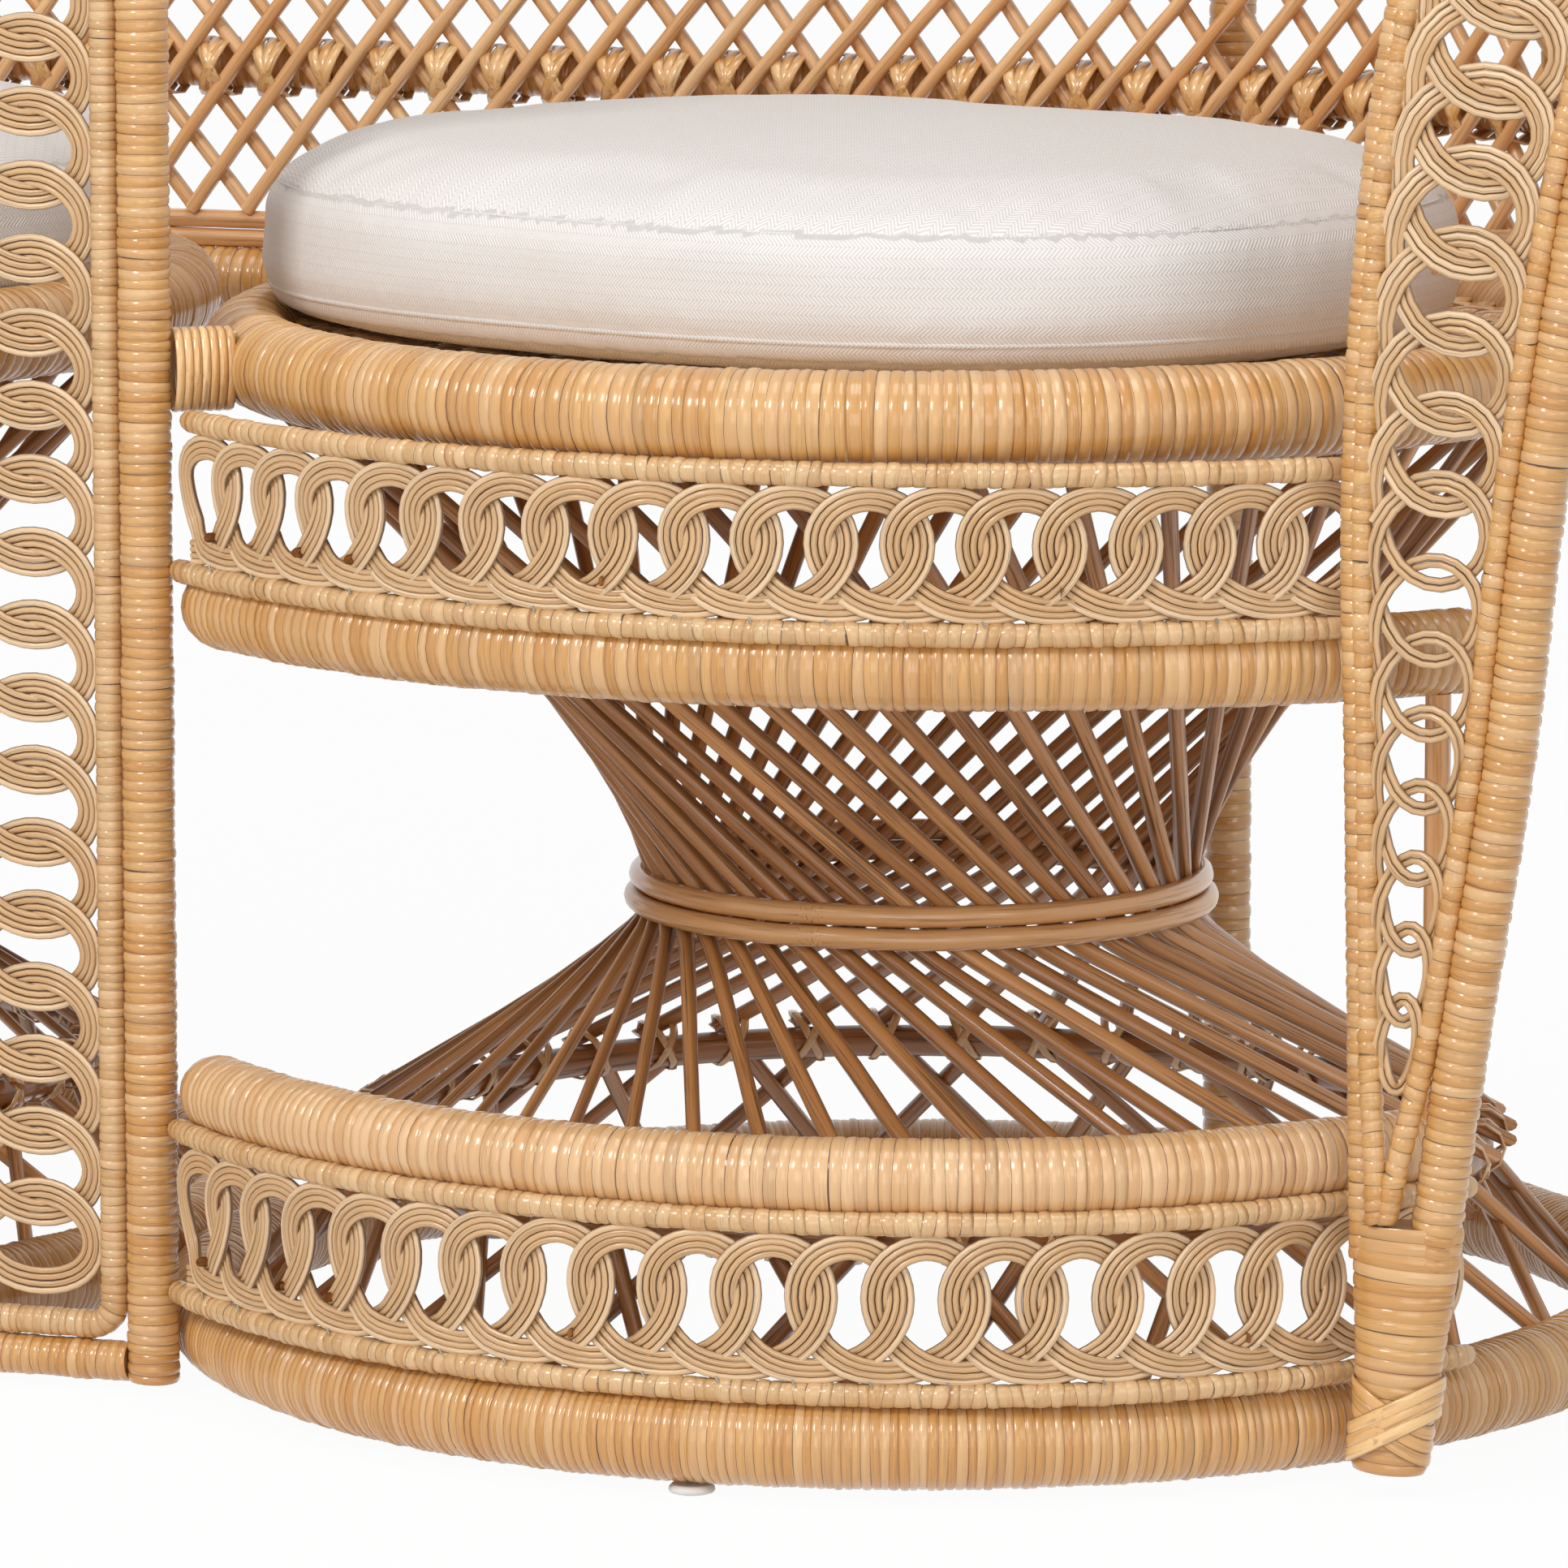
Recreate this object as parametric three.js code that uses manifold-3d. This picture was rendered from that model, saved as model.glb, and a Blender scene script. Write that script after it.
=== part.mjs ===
// A two-seat peacock chair in wrapped rattan. Each seat is a wrapped hoop on an hourglass of twisted rods.
// Millimetres, +Z up, the sitter faces -Y. The origin is on the floor, in the middle of the chair's outline.
import * as THREE from "three";
import Module from "manifold-3d";

const kernel = await Module();
kernel.setup();
const { Manifold, Mesh } = kernel;

// Clearance between pieces that are tied or rested on each other
const GAP = 0.4;

// Hourglass of one seat
const SEAT_X = 274; // from the middle of the chair to the axis of a seat
const GLIDE_R = 8;
const GLIDE_H = 3;
const GLIDE_ANGLES = [2, 122, 238]; // degrees round from the front
const FOOT_RING_R = 257.4;
const FOOT_RING_FRONT_R = 264.5;
const FOOT_TUBE_R = 16;
const ROD_COUNT = 38;
const ROD_R = 3.7;
const ROD_TOP_R = 235;
const WAIST_ROD_R = 95;
const WAIST_Z = 161; // where the rods bend, just under the lower hoop
const WAIST_HOOP_R = 100.8;
const WAIST_LOWER_R = 103.4;
const WAIST_HOOP_TUBE_R = 3.9;
const WAIST_HOOP_STEP = 7.9;
const TIE_HOOP_R = 201;
const TIE_HOOP_Z = 76;
const TIE_HOOP_TUBE_R = 6;
const TWIST_ABOVE = 63; // degrees that a rod runs round between the seat hoop and the waist
const TWIST_BELOW = 40; // degrees from the waist to the tie hoop
const SKIRT_PAIRS = 12;
const SKIRT_ROD_R = 3.4;
const SKIRT_TWIST = 11; // degrees between the two ends of a skirt rod
const SKIRT_LAYER = 7.2; // the rods that lean one way lie this far outside the others

// Seat hoop, and the band of running loops that bows out in front of it
const SEAT_RING_R = 239;
const SEAT_RING_SHIFT_Y = -3.6;
const SEAT_TUBE_R = 16;
const SEAT_Z = 364;
const RIM_R = 4.1;
const BAND_R = 320;
const BAND_APEX_Y = -256.5;
const BAND_INNER_END = 216.4; // sideways from the seat's axis to the end at the middle panel
const BAND_TOP_INNER_END = 209;
const BAND_OUTER_END = 222; // and to the end behind the wing
const BAND_RAIL_INNER_END = 209;
const BAND_RAIL_OUTER_END = 244;
const BAND_TOP_Z = 347.4;
const BAND_BOTTOM_Z = 293.2;
const BAND_RAIL_R = 14.2;
const BAND_RAIL_DROP = 12.4;
const BAND_RAIL_INSET = 13.1;
const TIE_W = 16;
const TIE_H = 30;
const TIE_EDGE_SHARE = 0.7; // where the bundle's rounded corners begin
const DECK_T = 3;
const DECK_Z = 369;

// Apron: the same band between the floor ring and a wrapped rail
const APRON_R = 294;
const APRON_APEX_Y = -273;
const APRON_TUCK = 7;
const TUCK_END_SHARE = 0.86;
const APRON_INNER_END = 216.6;
const APRON_OUTER_END = 250;
const APRON_RAIL_INNER_END = 207;
const APRON_RAIL_OUTER_END = 237;
const APRON_TOP_Z = 97.3;
const APRON_BOTTOM_Z = 38.7;
const APRON_RAIL_R = 13.2;
const APRON_RAIL_LIFT = 12.7;
const APRON_RAIL_INSET = 11.9;
const SIDE_ROD_R = 4.4;

// Running loops: a flat bundle of core that curls back over itself
const BUNDLE_W = 7;
const BUNDLE_T = 2.4;
const LOOP_PITCH = 26;
const LOOP_STEPS = 6;
const LOOP_SWING_SHARE = 0.6; // of the pitch, to each side of the loop's middle
const LOOP_DEPTH = 3.1;

// Middle panel: one hoop between the seats, filled with a chain of loops
const POST_X = 47;
const POST_Y = -175;
const POST_FOOT_Z = 4; // the panel and the wings hang a little clear of the floor
const POST_R = 9.4;
const PANEL_TOP_Z = 640;
const PANEL_RIM_R = 5;
const PANEL_FOOT_RAIL_R = 7.4;
const PANEL_FOOT_RAIL_Z = 10.5;
const ARMREST_R = 11;

// Border of the fan, which comes down to the floor as a wing on each side
const WING_X = 505;
const WING_Y = -187;
const LEG_FOOT_Z = 8;
const LEG_TOP_Z = 88.6;
const LEG_FOOT_R = 13;
const LEG_TOP_R = 16.8;
const INNER_POLE_R = 7;
const OUTER_POLE_R = 10;
const BORDER_RIM_R = 4;
const BORDER_UPPER_PITCH = 90;
const BORDER_STATIONS = [ // [x, y, z of the border's middle line, half the distance between its poles]
  [505.5, WING_Y, 92, 9],
  [514, WING_Y, 155, 17],
  [520.6, WING_Y, 255, 27],
  [527, WING_Y, 345, 33.3],
  [541.5, -184, 470, 39],
  [566, -161, 610, 41],
  [591, -108, 770, 43],
  [600, -22, 930, 44],
  [576, 88, 1085, 44],
  [502, 192, 1215, 44],
  [372, 270, 1305, 44],
  [196, 314, 1354, 44],
  [0, 328, 1370, 44],
];

// Shell of lattice round the seats, and the fan above it
const SHELL_R = 285;
const SHELL_SWEEP = 124; // degrees round each seat from the back towards the wing
const SILL_Z = 371;
const SILL_RISE = 44; // the shell's lower edge climbs this much towards the wings
const SILL_ROD_R = 3.8;
const SILL_ROD_STEP = 7.3;
const BACK_RAIL_R = 13;
const BACK_RAIL_REACH = 0.72; // share of the shell
const MID_RAIL_R = 9;
const MID_RAIL_LIFT = 62; // above the upper sill rod
const NET_COLUMNS = 21;
const NET_ROWS = 3;
const NET_STRUT_W = 6.4;
const NET_T = 5;
const NET_END_SHARE = 0.93;
const NET_MARGIN = 5.5;
const FAN_BORDER_START = 520; // along the border, from its foot to where the fan begins
const FAN_RAIL_Z = 590;
const FAN_ARCH_SHARE = 0.6; // of the way from that rail to the border
const FAN_REACH = 0.82; // share of the shell over which the fan's ribs spread
const FAN_RAIL_R = 7;
const FAN_RIBS = 17;
const FAN_RIB_R = 4;
const STAY_X = 292.3;
const STAY_Y = 312.4;
const STAY_R = 9.5;
const STAY_TOP_Z = 700;

// Cushions
const CUSHION_HALF_W = 227;
const CUSHION_HALF_D = 232;
const CUSHION_POWER = 2.5;
const CUSHION_STEPS = 20;
const CUSHION_SINK = 8; // its underside sits this deep inside the seat hoop
const CUSHION_SIDE_H = 39; // from there up to the upper seam
const CUSHION_CROWN = 27;

// Mesh fineness
const ROUND_SIDES = 6;
const RING_STEPS = 28;
const HOOP_STEPS = 20;
const ARC_STEPS = 13;
const SHELL_STEPS = 30;
const BORDER_STEPS = 34;

const UP = new THREE.Vector3(0, 0, 1);
const FORWARD = new THREE.Vector3(0, -1, 0);
const point = (x, y, z) => new THREE.Vector3(x, y, z);
const radians = THREE.MathUtils.degToRad;
const mix = THREE.MathUtils.lerp;

/** How far the flats of a bar's section lie from its middle. */
const flat = (radius, sides = ROUND_SIDES) => radius * Math.cos(Math.PI / sides);

/** How far a three-sided bar reaches upward and downward from its middle. */
const riseOf = (radius) => radius * Math.sin(Math.PI / 3);

/** A closed solid from its corner points and its triangles. */
function solidFrom(corners, triangles) {
  const mesh = new Mesh({
    numProp: 3,
    vertProperties: new Float32Array(corners.flatMap((p) => [p.x, p.y, p.z])),
    triVerts: new Uint32Array(triangles.flat()),
  });
  return new Manifold(mesh);
}

/** Corners of a round section. */
function roundSection(radius, sides = ROUND_SIDES) {
  return Array.from({ length: sides }, (_, i) => {
    const a = ((i + 0.5) / sides) * 2 * Math.PI;
    return [radius * Math.cos(a), radius * Math.sin(a)];
  });
}

/** Section of a flat bundle: wide against the band's surface, with a ridge on its face. */
const bundleSection = [
  [-BUNDLE_W / 2, -BUNDLE_T / 2],
  [BUNDLE_W / 2, -BUNDLE_T / 2],
  [0, BUNDLE_T / 2],
];

/** Direction of a path at one of its points. */
function tangentAt(path, i, closed) {
  const n = path.length;
  const next = closed ? path[(i + 1) % n] : path[Math.min(i + 1, n - 1)];
  const last = closed ? path[(i + n - 1) % n] : path[Math.max(i - 1, 0)];
  return next.clone().sub(last).normalize();
}

/** One solid swept along a path. normals[i] keeps a section's second axis facing that way. */
function sweep(path, section, { closed = false, normals = null, start = UP, taper = () => 1 } = {}) {
  const corners = [];
  let normal = start.clone();
  path.forEach((at, i) => {
    const along = tangentAt(path, i, closed);
    if (normals) normal = normals[i].clone();
    normal.addScaledVector(along, -normal.dot(along)).normalize();
    const side = along.clone().cross(normal);
    const k = taper(i / (path.length - 1));
    for (const [a, b] of section)
      corners.push(at.clone().addScaledVector(side, -a * k).addScaledVector(normal, b * k));
  });
  return solidFrom(corners, sweptTriangles(path.length, section.length, closed));
}

function sweptTriangles(rings, sides, closed) {
  const triangles = [];
  const last = closed ? rings : rings - 1;
  for (let i = 0; i < last; i++)
    for (let j = 0; j < sides; j++) {
      const a = i * sides + j;
      const b = i * sides + ((j + 1) % sides);
      const c = ((i + 1) % rings) * sides + j;
      const d = ((i + 1) % rings) * sides + ((j + 1) % sides);
      triangles.push([a, b, d], [a, d, c]);
    }
  if (closed) return triangles;
  const end = (rings - 1) * sides;
  for (let j = 1; j < sides - 1; j++) triangles.push([0, j + 1, j], [end, end + j, end + j + 1]);
  return triangles;
}

const samples = (count, at) => Array.from({ length: count + 1 }, (_, i) => at(i / count));

/** Point on a circle round a seat's axis; the angle runs from the front towards the outer side. */
function around(radius, angle, z, shiftY = 0) {
  return point(radius * Math.sin(angle), shiftY - radius * Math.cos(angle), z);
}

function ring(radius, z, tube, { steps = RING_STEPS, sides = ROUND_SIDES, shiftY = 0 } = {}) {
  const path = samples(steps, (q) => around(radius, 2 * Math.PI * q, z, shiftY)).slice(0, steps);
  return sweep(path, roundSection(tube, sides), { closed: true });
}

/** The floor ring's middle line: round behind, drawn forward in front. */
function footRingPoint(angle, z = GLIDE_H + GAP + FOOT_TUBE_R, out = 0) {
  const forward = Math.max(Math.cos(angle), 0) ** 2;
  return around(mix(FOOT_RING_R, FOOT_RING_FRONT_R, forward) + out, angle, z);
}

function footRing() {
  const path = samples(RING_STEPS, (q) => footRingPoint(2 * Math.PI * q)).slice(0, RING_STEPS);
  return sweep(path, roundSection(FOOT_TUBE_R), { closed: true });
}

/**
 * The front arc of a band: its middle is at apexY, and it ends beside and behind the two posts.
 * inset moves it towards the seat's axis, and tuck does so only where it passes behind the wing.
 */
function frontArc(radius, apexY, innerEnd, outerEnd, { inset = 0, tuck = 0 } = {}) {
  const centreY = apexY + radius;
  const from = -Math.asin(innerEnd / (radius - inset));
  const to = Math.asin(outerEnd / (radius - inset));
  const reach = (angle) => radius - inset - tuck * THREE.MathUtils.smoothstep(angle, to / 2, to * TUCK_END_SHARE);
  return {
    length: (to - from) * radius,
    at: (s, z, out = 0) => around(reach(from + s / radius) + out, from + s / radius, z, centreY),
    out: (s) => around(1, from + s / radius, 0),
  };
}

function arcBar(arc, z, tube, sides = ROUND_SIDES) {
  return sweep(samples(ARC_STEPS, (q) => arc.at(q * arc.length, z)), roundSection(tube, sides));
}

/**
 * Running loops along a strip: forward low down, up, back over the top and down again behind the rise.
 * at(s, across, out) places a point and facing(s) is the strip's outward direction.
 */
function runningLoops({ length, loops, half, at, facing, phase = (q) => q }) {
  const count = loops * LOOP_STEPS;
  const path = [];
  const normals = [];
  const margin = 0.5 * (length / loops);
  for (let i = 0; i <= count; i++) {
    const turn = 2 * Math.PI * loops * (i / count);
    const mid = phase(i / count);
    const pitch = (phase((i + 1) / count) - phase((i - 1) / count)) * 0.5 * LOOP_STEPS * (length - 2 * margin);
    const s = margin + mid * (length - 2 * margin) + LOOP_SWING_SHARE * pitch * Math.sin(turn);
    const along = Math.min(Math.max(s, 0), length);
    path.push(at(along, -half(along) * Math.cos(turn), LOOP_DEPTH * Math.sin(turn)));
    normals.push(facing(along));
  }
  return sweep(path, bundleSection, { normals });
}

/** Loops that fill the height between the two rims of a front band. */
function bandLoops(arc, bottomZ, topZ) {
  const middle = (bottomZ + topZ) / 2;
  const half = (topZ - bottomZ) / 2 - riseOf(RIM_R) - GAP / 2 - BUNDLE_W / 2;
  return runningLoops({
    length: arc.length,
    loops: Math.round(arc.length / LOOP_PITCH),
    half: () => half,
    at: (s, across, out) => arc.at(s, middle + across, out),
    facing: arc.out,
  });
}

/** One rod of the hourglass, from under the seat hoop, past the waist, to the tie hoop. */
function hourglassRod(angle) {
  const top = SEAT_Z - SEAT_TUBE_R + (SEAT_RING_R - ROD_TOP_R) / 2 - GAP - ROD_R / 2;
  const foot = TIE_HOOP_Z + flat(TIE_HOOP_TUBE_R, 4) + ROD_R;
  const path = [
    around(ROD_TOP_R, angle - radians(TWIST_ABOVE), top, SEAT_RING_SHIFT_Y),
    around(WAIST_ROD_R, angle, WAIST_Z),
    around(TIE_HOOP_R + ROD_R, angle + radians(TWIST_BELOW), foot),
  ];
  return sweep(path, roundSection(ROD_R, 3));
}

/** One bare rod of the skirt, from the tie hoop down to the inside of the floor ring. */
function skirtRod(angle, lean) {
  const layer = lean > 0 ? SKIRT_LAYER / 2 : -SKIRT_LAYER / 2;
  const reach = flat(FOOT_TUBE_R) + GAP + SKIRT_ROD_R + SKIRT_LAYER / 2 - layer;
  const floorZ = GLIDE_H + GAP + FOOT_TUBE_R;
  const path = [
    around(TIE_HOOP_R + layer / 2, angle, TIE_HOOP_Z - TIE_HOOP_TUBE_R / 2),
    footRingPoint(angle + lean * radians(SKIRT_TWIST), floorZ + reach / 4, -reach),
  ];
  return sweep(path, roundSection(SKIRT_ROD_R, 3));
}

/** The rods, held together by the upper of the two hoops round the waist. */
function hourglass() {
  const rods = Array.from({ length: ROD_COUNT }, (_, i) => hourglassRod((i / ROD_COUNT) * 2 * Math.PI));
  return Manifold.union([...rods, waistHoop(WAIST_HOOP_R, 1)]);
}

/** A bare hoop round the waist; level 0 is the lower one. */
function waistHoop(radius, level) {
  const z = WAIST_Z + WAIST_HOOP_TUBE_R + level * WAIST_HOOP_STEP;
  return ring(radius, z, WAIST_HOOP_TUBE_R, { steps: HOOP_STEPS, sides: 4 });
}

/** Tie hoop with the bare rods that cross between it and the floor ring. */
function skirt() {
  const rods = [];
  for (let i = 0; i < SKIRT_PAIRS; i++)
    for (const lean of [-1, 1]) rods.push(skirtRod(((i + lean / 4) / SKIRT_PAIRS) * 2 * Math.PI, lean));
  return Manifold.union([...rods, ring(TIE_HOOP_R, TIE_HOOP_Z, TIE_HOOP_TUBE_R, { steps: RING_STEPS, sides: 4 })]);
}

/** Radius of the cushion's outline, a soft square, in one direction. */
function cushionReach(angle) {
  const w = Math.abs(Math.sin(angle) / CUSHION_HALF_W) ** CUSHION_POWER;
  const d = Math.abs(Math.cos(angle) / CUSHION_HALF_D) ** CUSHION_POWER;
  return (w + d) ** (-1 / CUSHION_POWER);
}

/** A filled box cushion: piped seams, sides that bulge between them and a crown. */
function cushion() {
  const base = DECK_Z + DECK_T + GAP;
  const seam = CUSHION_SINK + CUSHION_SIDE_H / 5;
  const top = CUSHION_SINK + CUSHION_SIDE_H;
  const profile = [
    [0, 0],
    [0.87, 0],
    [0.975, mix(CUSHION_SINK, seam, 0.6)],
    [1, seam],
    [0.985, mix(seam, top, 0.1)],
    [0.998, mix(seam, top, 0.5)],
    [0.985, mix(seam, top, 0.9)],
    [1, top],
    [0.95, top + CUSHION_CROWN * 0.3],
    [0.65, top + CUSHION_CROWN * 0.78],
    [0, top + CUSHION_CROWN],
  ];
  const steps = CUSHION_STEPS;
  const rows = profile.slice(1, -1);
  const corners = rows.flatMap(([share, z]) =>
    samples(steps, (q) => around(cushionReach(2 * Math.PI * q) * share, 2 * Math.PI * q, base + z)).slice(0, steps),
  );
  corners.push(point(0, 0, base), point(0, 0, base + profile.at(-1)[1]));
  const triangles = sweptTriangles(rows.length, steps, true).filter((t) => !isWrap(t, rows.length, steps));
  const bottom = corners.length - 2;
  const last = (rows.length - 1) * steps;
  for (let j = 0; j < steps; j++) {
    const k = (j + 1) % steps;
    triangles.push([bottom, k, j], [bottom + 1, last + j, last + k]);
  }
  return solidFrom(corners, triangles);
}

/** True for the triangles that would join a stack's last row to its first. */
function isWrap(triangle, rows, steps) {
  const levels = triangle.map((v) => Math.floor(v / steps));
  return Math.max(...levels) - Math.min(...levels) === rows - 1;
}

/** Woven deck inside the seat hoop. */
function deck() {
  const rim = SEAT_RING_R - flat(SEAT_TUBE_R) - GAP;
  return Manifold.cylinder(DECK_T, rim, rim, RING_STEPS).translate([0, SEAT_RING_SHIFT_Y, DECK_Z]);
}

function glide(angle) {
  const at = footRingPoint(radians(angle), 0);
  return Manifold.cylinder(GLIDE_H, GLIDE_R, GLIDE_R, 10).translate([at.x, at.y, 0]);
}

/** Bare rod behind the wing, from the band's lower rail down to the apron. */
function sideRod() {
  const x = APRON_RAIL_OUTER_END - SIDE_ROD_R;
  const y = APRON_APEX_Y + APRON_R - Math.sqrt((APRON_R - APRON_RAIL_INSET) ** 2 - x ** 2);
  const from = APRON_TOP_Z + APRON_RAIL_LIFT + flat(APRON_RAIL_R) + GAP;
  const to = BAND_BOTTOM_Z - BAND_RAIL_DROP - BAND_RAIL_R - GAP;
  return sweep([point(x, y, from), point(x, y, to)], roundSection(SIDE_ROD_R, 5), { start: FORWARD });
}

/** Bundle of wraps that ties the seat hoop to the middle panel's post. */
function postTie() {
  const post = point(POST_X - SEAT_X, POST_Y, SEAT_Z);
  const centre = point(0, SEAT_RING_SHIFT_Y, SEAT_Z);
  const outward = post.clone().sub(centre).normalize();
  const from = centre.clone().addScaledVector(outward, SEAT_RING_R + flat(SEAT_TUBE_R) + GAP);
  const to = post.clone().addScaledVector(outward, -POST_R - GAP);
  const w = TIE_W / 2;
  const h = TIE_H / 2;
  const k = TIE_EDGE_SHARE;
  const section = [[-w, -k * h], [-k * w, -h], [k * w, -h], [w, -k * h], [w, k * h], [k * w, h], [-k * w, h], [-w, k * h]];
  return sweep([from, to], section);
}

/** Every piece of one seat, placed round the seat's own axis; +X is the outer side. */
function seatPieces() {
  const band = frontArc(BAND_R, BAND_APEX_Y, BAND_INNER_END, BAND_OUTER_END);
  const bandRail = frontArc(BAND_R, BAND_APEX_Y, BAND_RAIL_INNER_END, BAND_RAIL_OUTER_END, { inset: BAND_RAIL_INSET });
  const tuck = APRON_TUCK;
  const apron = frontArc(APRON_R, APRON_APEX_Y, APRON_INNER_END, APRON_OUTER_END, { tuck });
  const apronRail = frontArc(APRON_R, APRON_APEX_Y, APRON_RAIL_INNER_END, APRON_RAIL_OUTER_END, {
    inset: APRON_RAIL_INSET,
    tuck,
  });
  const bandTop = frontArc(BAND_R, BAND_APEX_Y, BAND_TOP_INNER_END, BAND_OUTER_END);
  const pieces = {
    seat_ring: ring(SEAT_RING_R, SEAT_Z, SEAT_TUBE_R, { shiftY: SEAT_RING_SHIFT_Y }),
    seat_deck: deck(),
    seat_band_rim_top: arcBar(bandTop, BAND_TOP_Z, RIM_R, 3),
    seat_band_rim_bottom: arcBar(band, BAND_BOTTOM_Z, RIM_R, 3),
    seat_band_rail: arcBar(bandRail, BAND_BOTTOM_Z - BAND_RAIL_DROP, BAND_RAIL_R),
    seat_band_loops: bandLoops(band, BAND_BOTTOM_Z, BAND_TOP_Z),
    hourglass: hourglass(),
    waist_hoop: waistHoop(WAIST_LOWER_R, 0),
    skirt: skirt(),
    foot_ring: footRing(),
    apron_rail: arcBar(apronRail, APRON_TOP_Z + APRON_RAIL_LIFT, APRON_RAIL_R),
    apron_rim_top: arcBar(apron, APRON_TOP_Z, RIM_R, 3),
    apron_rim_bottom: arcBar(apron, APRON_BOTTOM_Z, RIM_R, 3),
    apron_loops: bandLoops(apron, APRON_BOTTOM_Z, APRON_TOP_Z),
    side_rod: sideRod(),
    cushion: cushion(),
    post_tie: postTie(),
  };
  GLIDE_ANGLES.forEach((angle, i) => (pieces["glide_" + "abc"[i]] = glide(angle)));
  return pieces;
}

/** The border's middle line with its half width, as smooth curves over its whole length. */
function borderCurve() {
  const right = BORDER_STATIONS;
  const left = right.slice(0, -1).reverse().map(([x, y, z, h]) => [-x, y, z, h]);
  const all = [...right, ...left];
  const line = new THREE.CatmullRomCurve3(all.map(([x, y, z]) => point(x, y, z)), false, "centripetal");
  line.arcLengthDivisions = 600;
  const width = new THREE.CatmullRomCurve3(all.map(([, , , h], i) => point(i, h, 0)), false, "centripetal");
  return { line, width, length: line.getLength() };
}

const border = borderCurve();

/** Frame of the border at arc length s: where it is, which way is out of the fan, and which way it faces. */
function borderFrame(s) {
  const q = Math.min(Math.max(s / border.length, 0), 1);
  const t = border.line.getUtoTmapping(q, s);
  const at = border.line.getPoint(t);
  const along = border.line.getTangent(t);
  const face = sheetNormal(at.z);
  const out = along.clone().cross(face).normalize();
  face.copy(out).cross(along).normalize();
  return { at, along, out, face, half: border.width.getPoint(t).y };
}

/** Which way the border faces: straight forward at the wings, tipped up where it sweeps back. */
function sheetNormal(z) {
  const slope = THREE.MathUtils.smoothstep(z, BORDER_STATIONS[3][2], BORDER_STATIONS[7][2]);
  const ease = THREE.MathUtils.smoothstep(z, BORDER_STATIONS[9][2], BORDER_STATIONS[12][2]);
  const tip = mix(slope * 0.62, 0.3, ease);
  return point(0, -Math.cos(tip), Math.sin(tip));
}

function borderOffset(s, across, out = 0) {
  const f = borderFrame(s);
  return f.at.clone().addScaledVector(f.out, across).addScaledVector(f.face, out);
}

/** One of the border's four bars, at an offset measured from its inner or its outer pole. */
function borderBar(offset, tube, { skip = 0, sides = 5 } = {}) {
  const stops = samples(BORDER_STEPS, (q) => q * border.length).slice(skip, BORDER_STEPS + 1 - skip);
  const path = stops.map((s) => borderOffset(s, offset(borderFrame(s).half)));
  return sweep(path, roundSection(tube, sides), { normals: stops.map((s) => borderFrame(s).face) });
}

function borderPieces() {
  const rimIn = INNER_POLE_R + GAP + BORDER_RIM_R / 2;
  const rimOut = flat(OUTER_POLE_R, 5) + GAP + BORDER_RIM_R;
  const chainFrom = 165;
  const lean = (rimIn - rimOut) / 2;
  const length = border.length - 2 * chainFrom;
  const half = (s) => borderFrame(s + chainFrom).half - (rimIn + rimOut) / 2 - BORDER_RIM_R - 4 * GAP - BUNDLE_W / 2;
  const fine = 340 / length;
  const loops = Math.round((2 * fine * length) / LOOP_PITCH + ((1 - 2 * fine) * length) / BORDER_UPPER_PITCH);
  return {
    border_pole_inner: borderBar((h) => -h, INNER_POLE_R),
    border_pole_outer: borderBar((h) => h, OUTER_POLE_R),
    border_rim_inner: borderBar((h) => rimIn - h, BORDER_RIM_R, { skip: 1, sides: 3 }),
    border_rim_outer: borderBar((h) => h - rimOut, BORDER_RIM_R, { skip: 1, sides: 3 }),
    border_loops: runningLoops({
      length,
      loops,
      half,
      at: (s, across, out) => borderOffset(s + chainFrom, across + lean, out),
      facing: (s) => borderFrame(s + chainFrom).face,
      phase: (q) => borderPhase(q, fine, (fine * length) / LOOP_PITCH / loops),
    }),
  };
}

/** Share of the border's length reached by share q of its loops: close loops low down, wide ones above. */
function borderPhase(q, fine, fineLoops) {
  const fold = q > 0.5 ? 1 - q : q;
  const low = Math.min(fold, fineLoops) * (fine / fineLoops);
  const high = Math.max(fold - fineLoops, 0) * ((0.5 - fine) / (0.5 - fineLoops));
  return q > 0.5 ? 1 - low - high : low + high;
}

/** Plan of the shell: a straight back and an arc round each seat. q runs from -1 at the left wing to 1. */
function shellPlan(q, radius) {
  const half = SEAT_X + radians(SHELL_SWEEP) * SHELL_R;
  const a = Math.abs(q) * half;
  if (a < SEAT_X) return { x: Math.sign(q) * a, y: radius, turn: 0 };
  const turn = (a - SEAT_X) / SHELL_R;
  return { x: Math.sign(q) * (SEAT_X + radius * Math.sin(turn)), y: radius * Math.cos(turn), turn };
}

function shellPoint(q, lift, out = 0) {
  const p = shellPlan(q, SHELL_R + out);
  const rise = SILL_RISE * THREE.MathUtils.smoothstep(p.turn, radians(45), radians(SHELL_SWEEP));
  return point(p.x, p.y, SILL_Z + rise + lift);
}

/** The fan's surface: q across, share 0 at the sill and 1 at the border's inner pole. */
function fanPoint(q, share) {
  const s = mix(border.length - FAN_BORDER_START, FAN_BORDER_START, (q + 1) / 2);
  const high = borderOffset(s, -borderFrame(s).half);
  return shellPoint(q, SILL_ROD_STEP + riseOf(SILL_ROD_R)).lerp(high, share);
}

/** The share at which the fan's surface reaches a height. */
function shareAtHeight(q, z) {
  const low = fanPoint(q, 0).z;
  return (z - low) / (fanPoint(q, 1).z - low);
}

function fanNormal(q, share) {
  const d = 0.004;
  const across = fanPoint(q + d, share).sub(fanPoint(q - d, share));
  const upward = fanPoint(q, share + d).sub(fanPoint(q, share));
  return across.cross(upward).normalize();
}

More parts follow.
